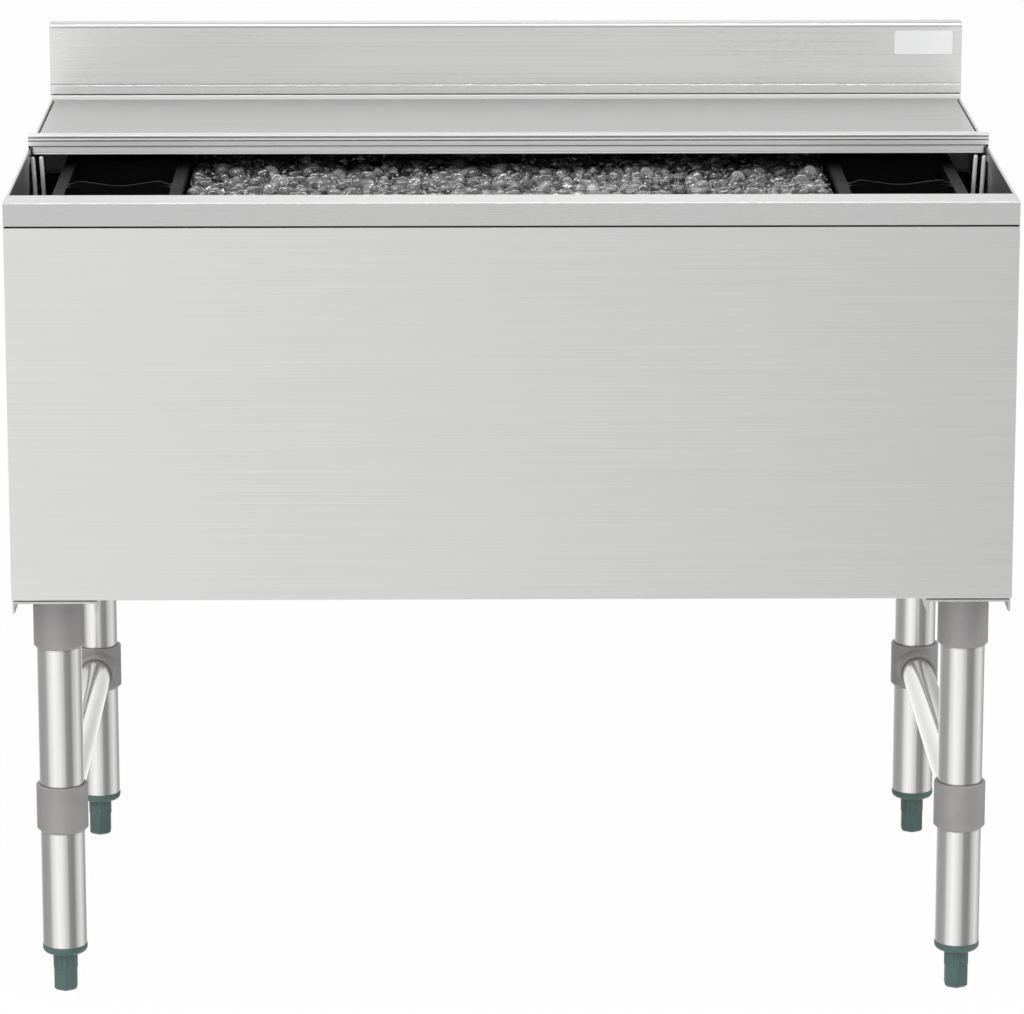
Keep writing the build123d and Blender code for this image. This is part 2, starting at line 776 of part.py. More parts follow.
def leg_tube(y):
    """Right leg tube."""
    tube = post(leg_x, y, leg_bottom, leg_top, leg_radius)
    return tube - post(leg_x, y, leg_bottom - overrun, leg_top + overrun, leg_radius - leg_wall)


def leg_tee(y, side):
    """Right tee: cast collar round the leg with a socket for the crossbar."""
    top = tee_bottom + tee_height
    collar = post(leg_x, y, tee_bottom, top, tee_diameter / 2)
    collar = chamfer(collar.edges().group_by(Axis.Z)[0], casting_chamfer)
    collar = fillet(collar.edges().group_by(Axis.Z)[-1], casting_edge)
    end = y + side * tee_branch_reach
    branch = bar_y(leg_x, min(y, end), max(y, end), tee_centre, tee_branch_diameter / 2)
    mouth = branch.edges().filter_by(GeomType.CIRCLE).sort_by_distance((leg_x, end, tee_centre))[0]
    branch = fillet(mouth, casting_edge)
    tee = collar + branch
    tee = tee - post(leg_x, y, tee_bottom - overrun, top + overrun, casting_bore)
    far = end + side * overrun
    tee = tee - bar_y(leg_x, min(y, far), max(y, far), tee_centre, bar_radius + casting_clearance)
    screw_y = end - side * crossbar_seat / 2
    low = tee_centre - tee_diameter / 2
    return tee - post(leg_x, screw_y, low, tee_centre - bar_radius, set_screw_radius)


def tee_set_screw(y, side):
    """Set screw in the underside of the right tee's branch, bearing on the crossbar."""
    screw_y = y + side * (tee_branch_reach - crossbar_seat / 2)
    low = tee_centre - tee_branch_diameter / 2
    high = tee_centre - bar_radius - run_clearance
    screw = post(leg_x, screw_y, low, high, set_screw_radius - run_clearance)
    return screw - post(leg_x, screw_y, low - overrun, low + set_screw_hex_depth / 2, set_screw_hex_radius)


def crossbar():
    """Right crossbar between the branches of the front and back tees."""
    y0 = leg_front_y + tee_branch_reach - crossbar_seat
    y1 = leg_back_y - tee_branch_reach + crossbar_seat
    bar = bar_y(leg_x, y0, y1, tee_centre, bar_radius)
    return bar - bar_y(leg_x, y0 - overrun, y1 + overrun, tee_centre, bar_radius - crossbar_wall)


# Levelling feet

def foot_insert(y):
    """Right insert: plug in the end of the leg tube, round flange below it, bored for the stem."""
    flange = post(leg_x, y, insert_bottom, leg_bottom, insert_flange_diameter / 2)
    flange = fillet(flange.edges().group_by(Axis.Z)[0], insert_flange_round)
    plug_radius = leg_radius - leg_wall - insert_plug_clearance
    plug_top = leg_bottom + insert_plug_length
    plug = post(leg_x, y, leg_bottom - insert_flange_height / 2, plug_top, plug_radius)
    plug = chamfer(plug.edges().group_by(Axis.Z)[-1], insert_plug_chamfer)
    bore = stem_diameter / 2 + stem_clearance
    return flange + plug - post(leg_x, y, insert_bottom - overrun, plug_top + overrun, bore)


def foot_stem(y):
    """Right threaded stem, fixed in the foot and screwed into the insert."""
    stem = post(leg_x, y, stem_bottom + slip, stem_top, stem_diameter / 2)
    return chamfer(stem.edges().group_by(Axis.Z)[-1], stem_chamfer)


def foot(y):
    """Right foot: fluted neck over a chamfered hexagon, with a corner to the front."""
    neck_radius = foot_neck_diameter / 2
    neck = post(leg_x, y, hex_top, foot_top, neck_radius)
    groove_radius = neck_radius - flute_depth + flute_radius
    for step in range(flute_count):
        turn = 2 * pi * (step + 0.5) / flute_count
        x = leg_x + groove_radius * cos(turn)
        groove_y = y + groove_radius * sin(turn)
        neck = neck - post(x, groove_y, hex_top + flute_end, foot_top - flute_end, flute_radius)
    hexagon = hex_post(leg_x, y, 0, hex_top, foot_hex_flats, foot_corner_angle)
    hexagon = chamfer(hexagon.edges().group_by(Axis.Z)[0], foot_hex_chamfer)
    bore = stem_diameter / 2 + run_clearance
    return neck + hexagon - post(leg_x, y, stem_bottom, foot_top + overrun, bore)


parts = {
    "front_panel": front_panel(),
    "front_rim": front_rim(),
    "back_panel": back_panel(),
    "bottom_pan": bottom_pan(),
    "liner": liner(),
    "insulation": insulation(),
    "drain_body": drain_body(),
    "drain_gasket": drain_gasket(),
    "drain_strainer": drain_strainer(),
    "drain_locknut": drain_locknut(),
    "rear_deck": rear_deck(),
    "backsplash": backsplash(),
    "splash_strip": splash_strip(),
    "lid_pan": lid_pan(),
    "lid_handle": lid_handle(),
    "handle_glides": both_sides(handle_glide()),
    "lid_glides": both_sides(lid_glide()),
    "channel_bolts": channel_bolts(),
}

rests = holder_rests()
parts["holder_rests"] = Compound(children=rests + [mirrored(rest) for rest in rests])

right_pieces = {
    "side_panel": side_panel(),
    "splash_end_cap": splash_end_cap(),
    "bottle_holder": bottle_holder(),
    "holder_hook": holder_hook(),
    "leg_channel": leg_channel(),
    "crossbar": crossbar(),
}
for row, y, inward in (("front", leg_front_y, 1), ("back", leg_back_y, -1)):
    right_pieces[f"leg_socket_{row}"] = leg_socket(y, inward)
    right_pieces[f"leg_tube_{row}"] = leg_tube(y)
    right_pieces[f"leg_tee_{row}"] = leg_tee(y, inward)
    right_pieces[f"foot_insert_{row}"] = foot_insert(y)
    right_pieces[f"foot_stem_{row}"] = foot_stem(y)
    right_pieces[f"foot_{row}"] = foot(y)
for name, piece in right_pieces.items():
    parts[f"{name}_right"] = piece
    parts[f"{name}_left"] = mirrored(piece)

screws = []
tee_screws = []
for y, inward in ((leg_front_y, 1), (leg_back_y, -1)):
    screws.append(socket_set_screw(y, inward))
    tee_screws.append(tee_set_screw(y, inward))
parts["socket_set_screws"] = Compound(children=screws + [mirrored(screw) for screw in screws])
parts["tee_set_screws"] = Compound(children=tee_screws + [mirrored(screw) for screw in tee_screws])

os.makedirs("parts", exist_ok=True)
for name, shape in parts.items():
    export_step(shape, f"parts/{name}.step")

print("nodes", len(parts))
print("lid travel", round(lid_travel, 2))
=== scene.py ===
"""Underbar ice bin: finishes, ice, threads, label, floor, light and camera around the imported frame.

Metres throughout. +Z is up, +X is to the right seen from the front, the front faces -Y.
"""

import math
import random

import bpy
from bpy.props import FloatProperty, FloatVectorProperty, IntProperty, PointerProperty
from mathutils import Matrix, Vector, noise


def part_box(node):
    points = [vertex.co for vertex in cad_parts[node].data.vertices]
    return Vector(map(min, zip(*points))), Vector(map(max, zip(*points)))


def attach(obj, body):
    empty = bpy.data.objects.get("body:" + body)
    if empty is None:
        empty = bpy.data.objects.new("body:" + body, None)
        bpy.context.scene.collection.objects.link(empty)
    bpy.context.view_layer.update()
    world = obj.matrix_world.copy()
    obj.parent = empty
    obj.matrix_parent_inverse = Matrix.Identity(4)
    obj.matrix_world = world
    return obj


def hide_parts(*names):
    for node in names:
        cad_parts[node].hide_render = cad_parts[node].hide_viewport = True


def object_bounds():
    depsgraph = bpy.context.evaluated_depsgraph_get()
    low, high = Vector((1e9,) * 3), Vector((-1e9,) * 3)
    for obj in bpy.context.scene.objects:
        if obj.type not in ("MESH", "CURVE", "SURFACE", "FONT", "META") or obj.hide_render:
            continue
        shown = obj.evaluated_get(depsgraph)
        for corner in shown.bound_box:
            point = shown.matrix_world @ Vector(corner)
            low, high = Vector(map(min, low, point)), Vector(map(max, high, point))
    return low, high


bl_info = {
    "name": "Underbar ice bin",
    "version": (1, 0, 0),
    "blender": (4, 5, 0),
    "location": "3D View > Sidebar > Ice bin",
    "description": "Gives the packed ice bin its finishes, its ice and a studio",
    "category": "Object",
}

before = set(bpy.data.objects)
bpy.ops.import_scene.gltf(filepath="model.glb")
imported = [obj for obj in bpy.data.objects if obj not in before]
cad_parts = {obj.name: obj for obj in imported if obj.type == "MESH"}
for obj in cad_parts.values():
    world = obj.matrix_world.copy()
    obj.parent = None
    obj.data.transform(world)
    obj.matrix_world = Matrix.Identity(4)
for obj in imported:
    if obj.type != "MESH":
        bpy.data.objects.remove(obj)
cad_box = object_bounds()

SIDES = ("left", "right")
ROWS = ("front", "back")
CORNERS = [f"{row}_{side}" for row in ROWS for side in SIDES]
ROOT = "body"
MM = 0.001
TURN = 2 * math.pi


# Settings

class SteelSettings(bpy.types.PropertyGroup):
    """Colours and finish of the metal pieces."""

    sheet_color: FloatVectorProperty(
        name="Sheet", description="Brushed stainless of the body",
        subtype="COLOR", min=0, max=1, default=(0.685, 0.682, 0.678))
    splash_color: FloatVectorProperty(
        name="Splash", description="Brushed stainless of the backsplash and on top of the deck",
        subtype="COLOR", min=0, max=1, default=(0.825, 0.822, 0.818))
    # Painted highlight: the deck's upright edges are given near white, to show as a bright line.
    deck_edge_lit_color: FloatVectorProperty(
        name="Deck edge", description="Bright stainless on the upright edges of the deck",
        subtype="COLOR", min=0, max=1, default=(1.0, 0.997, 0.993))
    # Painted shade: the lid's top is a darker copy of the steel than its front edge and handle.
    lid_top_shaded_color: FloatVectorProperty(
        name="Lid", description="Brushed stainless on top of the lid",
        subtype="COLOR", min=0, max=1, default=(0.54, 0.537, 0.533))
    # Painted light: a light, mostly diffuse copy of the steel for the handle and the lid's front edge.
    handle_color: FloatVectorProperty(
        name="Handle", description="Brushed stainless of the lid's handle and front edge",
        subtype="COLOR", min=0, max=1, default=(0.88, 0.877, 0.873))
    apron_color: FloatVectorProperty(
        name="Apron", description="Satin stainless of the front rim's upright face",
        subtype="COLOR", min=0, max=1, default=(0.545, 0.543, 0.54))
    # Painted light: the top of the front rim is a lighter copy of the steel than its apron.
    ledge_lit_color: FloatVectorProperty(
        name="Ledge", description="Stainless on top of the front rim, bright from use",
        subtype="COLOR", min=0, max=1, default=(0.66, 0.657, 0.653))
    liner_color: FloatVectorProperty(
        name="Liner", description="Satin stainless inside the ice well",
        subtype="COLOR", min=0, max=1, default=(0.50, 0.50, 0.505))
    tube_color: FloatVectorProperty(
        name="Leg tube", description="Polished stainless of the legs and crossbars",
        subtype="COLOR", min=0, max=1, default=(0.74, 0.735, 0.73))
    casting_color: FloatVectorProperty(
        name="Casting", description="Grey of the leg sockets and tees",
        subtype="COLOR", min=0, max=1, default=(0.36, 0.352, 0.35))
    zinc_color: FloatVectorProperty(
        name="Zinc plate", description="Stems, bolts and set screws",
        subtype="COLOR", min=0, max=1, default=(0.55, 0.55, 0.54))
    wire_color: FloatVectorProperty(
        name="Bright wire", description="Wire hooks of the bottle holders",
        subtype="COLOR", min=0, max=1, default=(1.0, 1.0, 1.0))
    edge_radius: FloatProperty(
        name="Edge softening", description="How far a cut sheet edge is rounded over",
        unit="LENGTH", default=0.3 * MM, min=0)
    brush_depth: FloatProperty(
        name="Brush depth", description="Depth of the brushing lines",
        unit="LENGTH", default=0.003 * MM, min=0)


class PlasticSettings(bpy.types.PropertyGroup):
    """Colours of the moulded and soft pieces."""

    foot_color: FloatVectorProperty(
        name="Feet", description="Grey-green plastic of the feet and their inserts",
        subtype="COLOR", min=0, max=1, default=(0.082, 0.145, 0.137))
    black_color: FloatVectorProperty(
        name="Black plastic", description="Bottle holders and glides",
        subtype="COLOR", min=0, max=1, default=(0.004, 0.004, 0.0045))
    rubber_color: FloatVectorProperty(
        name="Rubber", description="Drain gasket",
        subtype="COLOR", min=0, max=1, default=(0.02, 0.02, 0.02))
    foam_color: FloatVectorProperty(
        name="Foam", description="Insulation between well and shell",
        subtype="COLOR", min=0, max=1, default=(0.74, 0.62, 0.36))
    label_color: FloatVectorProperty(
        name="Label", description="Blank label on the splash",
        subtype="COLOR", min=0, max=1, default=(0.95, 0.955, 0.96))


class IceSettings(bpy.types.PropertyGroup):
    """Size and spread of the ice in the well."""

    level: FloatProperty(
        name="Level", description="Height of the ice above the floor",
        unit="LENGTH", default=0.733, min=0.5, max=0.74)
    nugget: FloatProperty(
        name="Nugget", description="Length of an average piece of ice",
        unit="LENGTH", default=15 * MM, min=5 * MM)
    pitch: FloatProperty(
        name="Pitch", description="Distance between neighbouring pieces",
        unit="LENGTH", default=12 * MM, min=5 * MM)
    layers: IntProperty(name="Layers", description="Layers of loose pieces", default=2, min=1, max=4)
    chips: IntProperty(name="Chips", description="Small chips between the pieces", default=9000, min=0)
    seed: IntProperty(name="Seed", description="Start of the random draws", default=7, min=0)


class StudioSettings(bpy.types.PropertyGroup):
    """Camera, floor and light."""

    distance: FloatProperty(
        name="Distance", description="From the lens to the front of the bin",
        unit="LENGTH", default=4.70, min=0.5)
    eye_height: FloatProperty(
        name="Eye height", description="Height of the lens above the floor",
        unit="LENGTH", default=1.61, min=0)
    side_offset: FloatProperty(
        name="Side offset", description="Lens to the right of the bin's middle",
        unit="LENGTH", default=-0.048)
    aim_height: FloatProperty(
        name="Aim height", description="Height of the picture's middle on the front panel",
        unit="LENGTH", default=0.481)
    lens: FloatProperty(
        name="Lens", description="Focal length in millimetres on a 36 mm sensor",
        default=186.7, min=10)
    floor_color: FloatVectorProperty(
        name="Floor", description="Colour of the studio floor",
        subtype="COLOR", min=0, max=1, default=(0.98, 0.98, 0.98))
    ambient: FloatProperty(
        name="Ambient", description="Level of the light from all round", default=0.62, min=0)
    tube: FloatProperty(
        name="Tube", description="Brightness of the front tube that draws the lines on the beads",
        default=75.0, min=0)
    panel: FloatProperty(
        name="Panel", description="Brightness of the overhead panel that draws the rims of the ice",
        default=8.0, min=0)


class IceBinSettings(bpy.types.PropertyGroup):
    """All the settings of the ice bin."""

    steel: PointerProperty(type=SteelSettings)
    plastic: PointerProperty(type=PlasticSettings)
    ice: PointerProperty(type=IceSettings)
    studio: PointerProperty(type=StudioSettings)


def settings():
    """The scene's ice bin settings."""
    return bpy.context.scene.ice_bin


# Node helpers

def put(tree, kind, inputs=None, **properties):
    """Adds a shader node; inputs are values or sockets to link from, by socket name or number."""
    node = tree.nodes.new("ShaderNode" + kind)
    for name, value in properties.items():
        setattr(node, name, value)
    for name, value in (inputs or {}).items():
        if isinstance(value, bpy.types.NodeSocket):
            tree.links.new(value, node.inputs[name])
        else:
            node.inputs[name].default_value = value
    return node


def spaced(named):
    """Turns the underscores in the names of sockets into spaces."""
    return {name.replace("_", " "): value for name, value in named.items()}


def effect(title, **inputs):
    """Starts an effect's node group with its named inputs; gives its tree and those sockets."""
    tree = bpy.data.node_groups.new(title, "ShaderNodeTree")
    for name, default in spaced(inputs).items():
        kind = "NodeSocketVector" if isinstance(default, tuple) else "NodeSocketFloat"
        socket = tree.interface.new_socket(name=name, in_out="INPUT", socket_type=kind)
        socket.default_value = default
    return tree, tree.nodes.new("NodeGroupInput").outputs


def put_out(tree, **outputs):
    """Ends an effect's node group with its named outputs."""
    for name, socket in outputs.items():
        kind = "NodeSocketVector" if socket.type == "VECTOR" else "NodeSocketFloat"
        tree.interface.new_socket(name=name, in_out="OUTPUT", socket_type=kind)
    end = tree.nodes.new("NodeGroupOutput")
    for name, socket in outputs.items():
        tree.links.new(socket, end.inputs[name])


def place_effect(tree, title, **inputs):
    """Places an effect in a material, with its inputs by name; gives its outputs."""
    return put(tree, "Group", spaced(inputs), node_tree=bpy.data.node_groups[title]).outputs


def spread(tree, value, low, high, start=0.0, end=1.0):
    """Maps a value that runs from start to end onto low to high, clamped."""
    node = put(tree, "MapRange", {"Value": value, "From Min": start, "From Max": end,
                                  "To Min": low, "To Max": high})
    return node.outputs["Result"]


def blend_color(tree, factor, first, second):
    """Mixes two colours, given as RGB or as sockets."""
    first, second = [color if isinstance(color, bpy.types.NodeSocket) else (*color, 1)
                     for color in (first, second)]
    return put(tree, "Mix", {0: factor, 6: first, 7: second}, data_type="RGBA").outputs[2]


def scaled(color, gain):
    """The colour made lighter or darker, at most white."""
    return [min(1.0, c * gain) for c in color]


def bumps(tree, height, distance, normal=None):
    """Normal of a surface with small bumps, on top of an earlier normal if there is one."""
    inputs = {"Strength": 1.0, "Distance": distance, "Height": height}
    if normal:
        inputs["Normal"] = normal
    return put(tree, "Bump", inputs).outputs[0]


def object_place(tree):
    """Place on the piece, in metres, that moves with it."""
    return put(tree, "TexCoord").outputs["Object"]


def math_node(tree, operation, *values):
    """Result of a Math node."""
    return put(tree, "Math", dict(enumerate(values)), operation=operation).outputs[0]


# Effects shared by the materials

def brushing_effect():
    """Fine parallel lines and slow bands of tone along them."""
    tree, given = effect("Brushing", Lines=(6.0, 700.0, 700.0), Band_Share=0.1)
    lines = put(tree, "VectorMath", {0: object_place(tree), 1: given["Lines"]},
                operation="MULTIPLY").outputs[0]
    fine = put(tree, "TexNoise", {"Vector": lines, "Scale": 1.0, "Detail": 2.0, "Roughness": 0.6})
    slow = put(tree, "VectorMath", {0: lines, "Scale": given["Band Share"]}, operation="SCALE")
    bands = put(tree, "TexNoise", {"Vector": slow.outputs[0], "Scale": 1.0, "Detail": 3.0})
    put_out(tree, Height=fine.outputs[0], Tone=bands.outputs[0])


def soft_edge_effect():
    """Rounded normals along cut edges, and a mask of those edges that lightens them: partly wear, partly
    a painted highlight.
    """
    tree, given = effect("Soft edge", Radius=0.7 * MM)
    bevel = put(tree, "Bevel", {"Radius": given["Radius"]}, samples=4).outputs["Normal"]
    flat = put(tree, "NewGeometry").outputs["Normal"]
    match = put(tree, "VectorMath", {0: bevel, 1: flat}, operation="DOT_PRODUCT").outputs["Value"]
    put_out(tree, Normal=bevel, Wear=spread(tree, match, 1.0, 0.0, 0.80, 0.995))


def crease_shade_effect():
    """Mask of painted shade in gaps and inner corners, from 0 far inside to 1 in the open."""
    tree, given = effect("Crease shade", Reach=2.5 * MM)
    near = put(tree, "AmbientOcclusion", {"Distance": given["Reach"]}, samples=6)
    put_out(tree, Open=spread(tree, near.outputs["AO"], 0.0, 1.0, 0.4, 0.95))


def facing_up_effect():
    """Mask of what faces up."""
    tree, given = effect("Facing up", Start=0.4)
    up = put(tree, "SeparateXYZ", {0: put(tree, "NewGeometry").outputs["Normal"]}).outputs["Z"]
    put_out(tree, Mask=spread(tree, up, 0.0, 1.0, given["Start"]))


def light_drift_effect():
    """Painted light: the tone rises slowly along X, from one end of a sheet to the other."""
    tree, given = effect("Light drift", Reach=0.45, Rise=0.05)
    place = put(tree, "SeparateXYZ", {0: object_place(tree)}).outputs["X"]
    share = math_node(tree, "DIVIDE", place, given["Reach"])
    put_out(tree, Gain=math_node(tree, "MULTIPLY_ADD", share, given["Rise"], 1.0))


def seam_shade_effect():
    """Painted shade: a dark line across Y, where the edge of a rolled sheet meets the next face."""
    tree, given = effect("Seam", Place=0.0, Half_Width=2.4 * MM)
    place = put(tree, "SeparateXYZ", {0: object_place(tree)}).outputs["Y"]
    away = math_node(tree, "ABSOLUTE", math_node(tree, "SUBTRACT", place, given["Place"]))
    share = math_node(tree, "DIVIDE", away, given["Half Width"])
    put_out(tree, Gain=spread(tree, share, 0.15, 1.0, 0.5, 1.0))


def smudge_effect():
    """Slow cloudy patches, as wiped metal and handled plastic have."""
    tree, given = effect("Smudges", Size=0.12)
    cloud = put(tree, "TexNoise", {
        "Vector": object_place(tree), "Scale": math_node(tree, "DIVIDE", 1.0, given["Size"]),
        "Detail": 4.0, "Roughness": 0.55, "Distortion": 0.6})
    put_out(tree, Cloud=spread(tree, cloud.outputs[0], 0.0, 1.0, 0.3, 0.7))


def grain_effect():
    """Fine grain of a moulded or cast surface, with a few darker specks."""
    tree, given = effect("Grain", Pitch=0.6 * MM)
    place = object_place(tree)
    scale = math_node(tree, "DIVIDE", 1.0, given["Pitch"])
    grain = put(tree, "TexNoise", {"Vector": place, "Scale": scale, "Detail": 3.0})
    cells = put(tree, "TexVoronoi", {"Vector": place, "Scale": scale}).outputs["Distance"]
    put_out(tree, Height=grain.outputs[0], Speck=spread(tree, cells, 1.0, 0.0, 0.08, 0.3))


def dust_effect():
    """Mask of thin dust on what faces up, patchy."""
    tree, given = effect("Dust", Amount=0.3)
    faces_up = place_effect(tree, "Facing up", Start=0.4)["Mask"]
    patches = put(tree, "TexNoise", {"Vector": object_place(tree), "Scale": 45.0, "Detail": 6.0})
    patchy = math_node(tree, "MULTIPLY", faces_up, patches.outputs[0])
    put_out(tree, Mask=math_node(tree, "MULTIPLY", patchy, given["Amount"]))


# Materials

def empty_material(title):
    """Material without nodes, and its tree."""
    material = bpy.data.materials.new(title)
    material.use_nodes = True
    material.node_tree.nodes.clear()
    return material, material.node_tree


def new_material(title, **plain):
    """Material with its Principled shader, the plain values of that shader's sockets set."""
    material, tree = empty_material(title)
    shader = put(tree, "BsdfPrincipled", spaced(plain))
    put(tree, "OutputMaterial", {"Surface": shader.outputs[0]})
    return material, tree, shader


def join(tree, shader, **sockets):
    """Links sockets to the shader's inputs."""
    for name, socket in spaced(sockets).items():
        tree.links.new(socket, shader.inputs[name])


def brushed_metal(title, color, lines, roughness=(0.28, 0.42), contrast=0.05, depth=None,
                  metallic=1.0, top=None, top_shade=None, drift=0.0, shade=(2.5 * MM, 0.3),
                  seam=None, softening=None):
    """Brushed metal: lines along one direction, wiped patches, light edges (wear and painted highlight).

    Lines are counted per metre along each axis. The top is the colour of what faces up: painted light
    where it is lighter than the sides, painted shade where darker. A shade is the reach of the painted
    shade in creases and its tone; the top shade, a painted shadow, needs a top and holds for it alone.
    The drift is how far a painted light raises the tone from the left to the right end, the seam the
    place along Y of a painted shade line, the softening the radius of the edges.
    """
    steel = settings().steel
    material, tree, shader = new_material(title, Metallic=metallic)
    brush = place_effect(tree, "Brushing", Lines=lines, Band_Share=0.12)
    edge = place_effect(tree, "Soft edge", Radius=softening or steel.edge_radius)
    cloud = place_effect(tree, "Smudges", Size=0.16)["Cloud"]
    fine = blend_color(tree, spread(tree, brush["Height"], 0, 1, 0.3, 0.7),
                       scaled(color, 1 - contrast), scaled(color, 1 + contrast))
    tone = blend_color(tree, spread(tree, brush["Tone"], 0, 0.35, 0.35, 0.65), fine, color)
    # Edges lighter: partly wear, partly a painted highlight.
    tone = blend_color(tree, spread(tree, edge["Wear"], 0, 0.5), tone, scaled(color, 1.3))
    # Painted shade: the colour darkens in creases and gaps, where ambient occlusion finds nearby faces.
    reach, shaded = shade
    gains = [spread(tree, place_effect(tree, "Crease shade", Reach=reach)["Open"], shaded, 1.0)]
    # Painted light and shade: what faces up gets its own copy of the colour, lighter than the sides on
    # the rim, darker on the lid, splash and deck.
    if top:
        faces_up = place_effect(tree, "Facing up", Start=0.5)["Mask"]
        gains.append(spread(tree, faces_up, 1.0, top[1] / color[1]))
    # Painted shadow: what faces up darkens over a long reach near tall faces, such as the lid's top near
    # the splash.
    if top_shade:
        reach, shaded = top_shade
        shut = spread(tree, place_effect(tree, "Crease shade", Reach=reach)["Open"], 1 - shaded, 0)
        gains.append(math_node(tree, "SUBTRACT", 1.0, math_node(tree, "MULTIPLY", faces_up, shut)))
    # Painted light: the tone rises towards the right end, where the lamps light less.
    if drift:
        gains.append(place_effect(tree, "Light drift", Reach=cad_box[1].x, Rise=drift)["Gain"])
    # Painted shade: a dark line across Y at the seam.
    if seam:
        gains.append(place_effect(tree, "Seam", Place=seam)["Gain"])
    for gain in gains:
        tone = put(tree, "VectorMath", {0: tone, "Scale": gain}, operation="SCALE").outputs[0]
    grooves = spread(tree, brush["Height"], *roughness, 0.25, 0.75)
    wiped = math_node(tree, "ADD", spread(tree, cloud, -0.03, 0.03), grooves)
    normal = bumps(tree, brush["Height"], depth or steel.brush_depth, edge["Normal"])
    join(tree, shader, Base_Color=tone, Roughness=wiped, Normal=normal)
    return material


def cast_metal(title, color):
    """Grey matt casting: fine grain, specks, slightly lighter edges."""
    material, tree, shader = new_material(title, Metallic=0.35)
    grain = place_effect(tree, "Grain", Pitch=0.9 * MM)
    edge = place_effect(tree, "Soft edge", Radius=1.1 * MM)
    cloud = place_effect(tree, "Smudges", Size=0.03)["Cloud"]
    tone = blend_color(tree, cloud, scaled(color, 0.93), scaled(color, 1.05))
    specked = blend_color(tree, spread(tree, grain["Speck"], 0, 0.25), tone, scaled(color, 0.7))
    worn = blend_color(tree, spread(tree, edge["Wear"], 0, 0.6), specked, scaled(color, 1.5))
    height = grain["Height"]
    join(tree, shader, Base_Color=worn, Roughness=spread(tree, height, 0.46, 0.6, 0.3, 0.7),
         Normal=bumps(tree, height, 0.03 * MM, edge["Normal"]))
    return material


def moulded_plastic(title, color, roughness, dust=0.15, edge_gain=1.8, gloss=0.5):
    """Moulded plastic: fine grain, soft parting edges, a little dust on top."""
    material, tree, shader = new_material(title, Specular_IOR_Level=gloss)
    grain = place_effect(tree, "Grain", Pitch=0.5 * MM)
    edge = place_effect(tree, "Soft edge", Radius=0.9 * MM)
    cloud = place_effect(tree, "Smudges", Size=0.04)["Cloud"]
    dusty = place_effect(tree, "Dust", Amount=dust)["Mask"]
    tone = blend_color(tree, cloud, scaled(color, 0.88), scaled(color, 1.12))
    worn = blend_color(tree, spread(tree, edge["Wear"], 0, 0.7), tone, scaled(color, edge_gain))
    join(tree, shader, Base_Color=blend_color(tree, dusty, worn, (0.45, 0.44, 0.42)),
         Roughness=spread(tree, cloud, *roughness),
         Normal=bumps(tree, grain["Height"], 0.02 * MM, edge["Normal"]))
    return material


def bright_metal(title, color, roughness, scratch=(220.0, 220.0, 9.0), metallic=1.0):
    """Drawn or plated metal: faint draw lines along Z over a bright surface."""
    material, tree, shader = new_material(title, Metallic=metallic)
    brush = place_effect(tree, "Brushing", Lines=scratch, Band_Share=0.2)
    cloud = place_effect(tree, "Smudges", Size=0.02)["Cloud"]
    join(tree, shader, Base_Color=blend_color(tree, brush["Tone"], scaled(color, 0.9), color),
         Roughness=spread(tree, cloud, *roughness),
         Normal=bumps(tree, brush["Height"], 0.004 * MM))
    return material


def galvanised(title, color):
    """Galvanised sheet: crystal patches of different tone."""
    material, tree, shader = new_material(title, Metallic=1.0)
    crystals = put(tree, "TexVoronoi", {"Vector": object_place(tree), "Scale": 140.0})
    tint = put(tree, "SeparateColor", {0: crystals.outputs["Color"]}).outputs[0]
    edge = place_effect(tree, "Soft edge", Radius=0.8 * MM)
    tone = blend_color(tree, tint, scaled(color, 0.85), scaled(color, 1.08))
    worn = blend_color(tree, spread(tree, edge["Wear"], 0, 0.6), tone, scaled(color, 1.35))
    join(tree, shader, Base_Color=worn, Roughness=spread(tree, tint, 0.34, 0.5),
         Normal=edge["Normal"])
    return material


def foam(title, color):
    """Foamed filling: small open cells."""
    material, tree, shader = new_material(title)
    grain = place_effect(tree, "Grain", Pitch=1.6 * MM)
    height = grain["Height"]
    join(tree, shader, Base_Color=blend_color(tree, grain["Speck"], color, scaled(color, 0.6)),
         Roughness=spread(tree, height, 0.85, 0.98), Normal=bumps(tree, height, 0.5 * MM))
    return material


def ice_material(title, tint, transmission, roughness, cloud_size, darkest, dimples):
    """Wet ice: clear or frosted, each piece with its own depth, mottled by cracks, with dimples."""
    material, tree, shader = new_material(title, Coat_Weight=1.0, Coat_IOR=1.7, Coat_Roughness=0.06,
                                          Transmission_Weight=transmission, IOR=1.31)
    cloud = place_effect(tree, "Smudges", Size=cloud_size)["Cloud"]
    grain = place_effect(tree, "Grain", Pitch=2.2 * MM)
    cracks = put(tree, "TexVoronoi", {"Vector": object_place(tree), "Scale": 330.0},
                 feature="DISTANCE_TO_EDGE")
    own = put(tree, "NewGeometry").outputs["Random Per Island"]
    depth = blend_color(tree, spread(tree, own, 0.0, 1.0, 0.25, 0.95), scaled(tint, darkest), tint)
    tone = blend_color(tree, cloud, blend_color(tree, 0.5, depth, (0, 0, 0)), depth)
    lines = spread(tree, cracks.outputs["Distance"], 0.5, 0.0, 0.0, 0.1)
    join(tree, shader, Base_Color=blend_color(tree, lines, tone, (1, 1, 1)),
         Roughness=spread(tree, cloud, *roughness),
         Normal=bumps(tree, grain["Height"], dimples))
    return material


def paper_label(title, color):
    """Blank film label: slightly uneven gloss."""
    material, tree, shader = new_material(title)
    cloud = place_effect(tree, "Smudges", Size=0.02)["Cloud"]
    join(tree, shader, Base_Color=blend_color(tree, cloud, scaled(color, 0.97), color),
         Roughness=spread(tree, cloud, 0.32, 0.42))
    return material


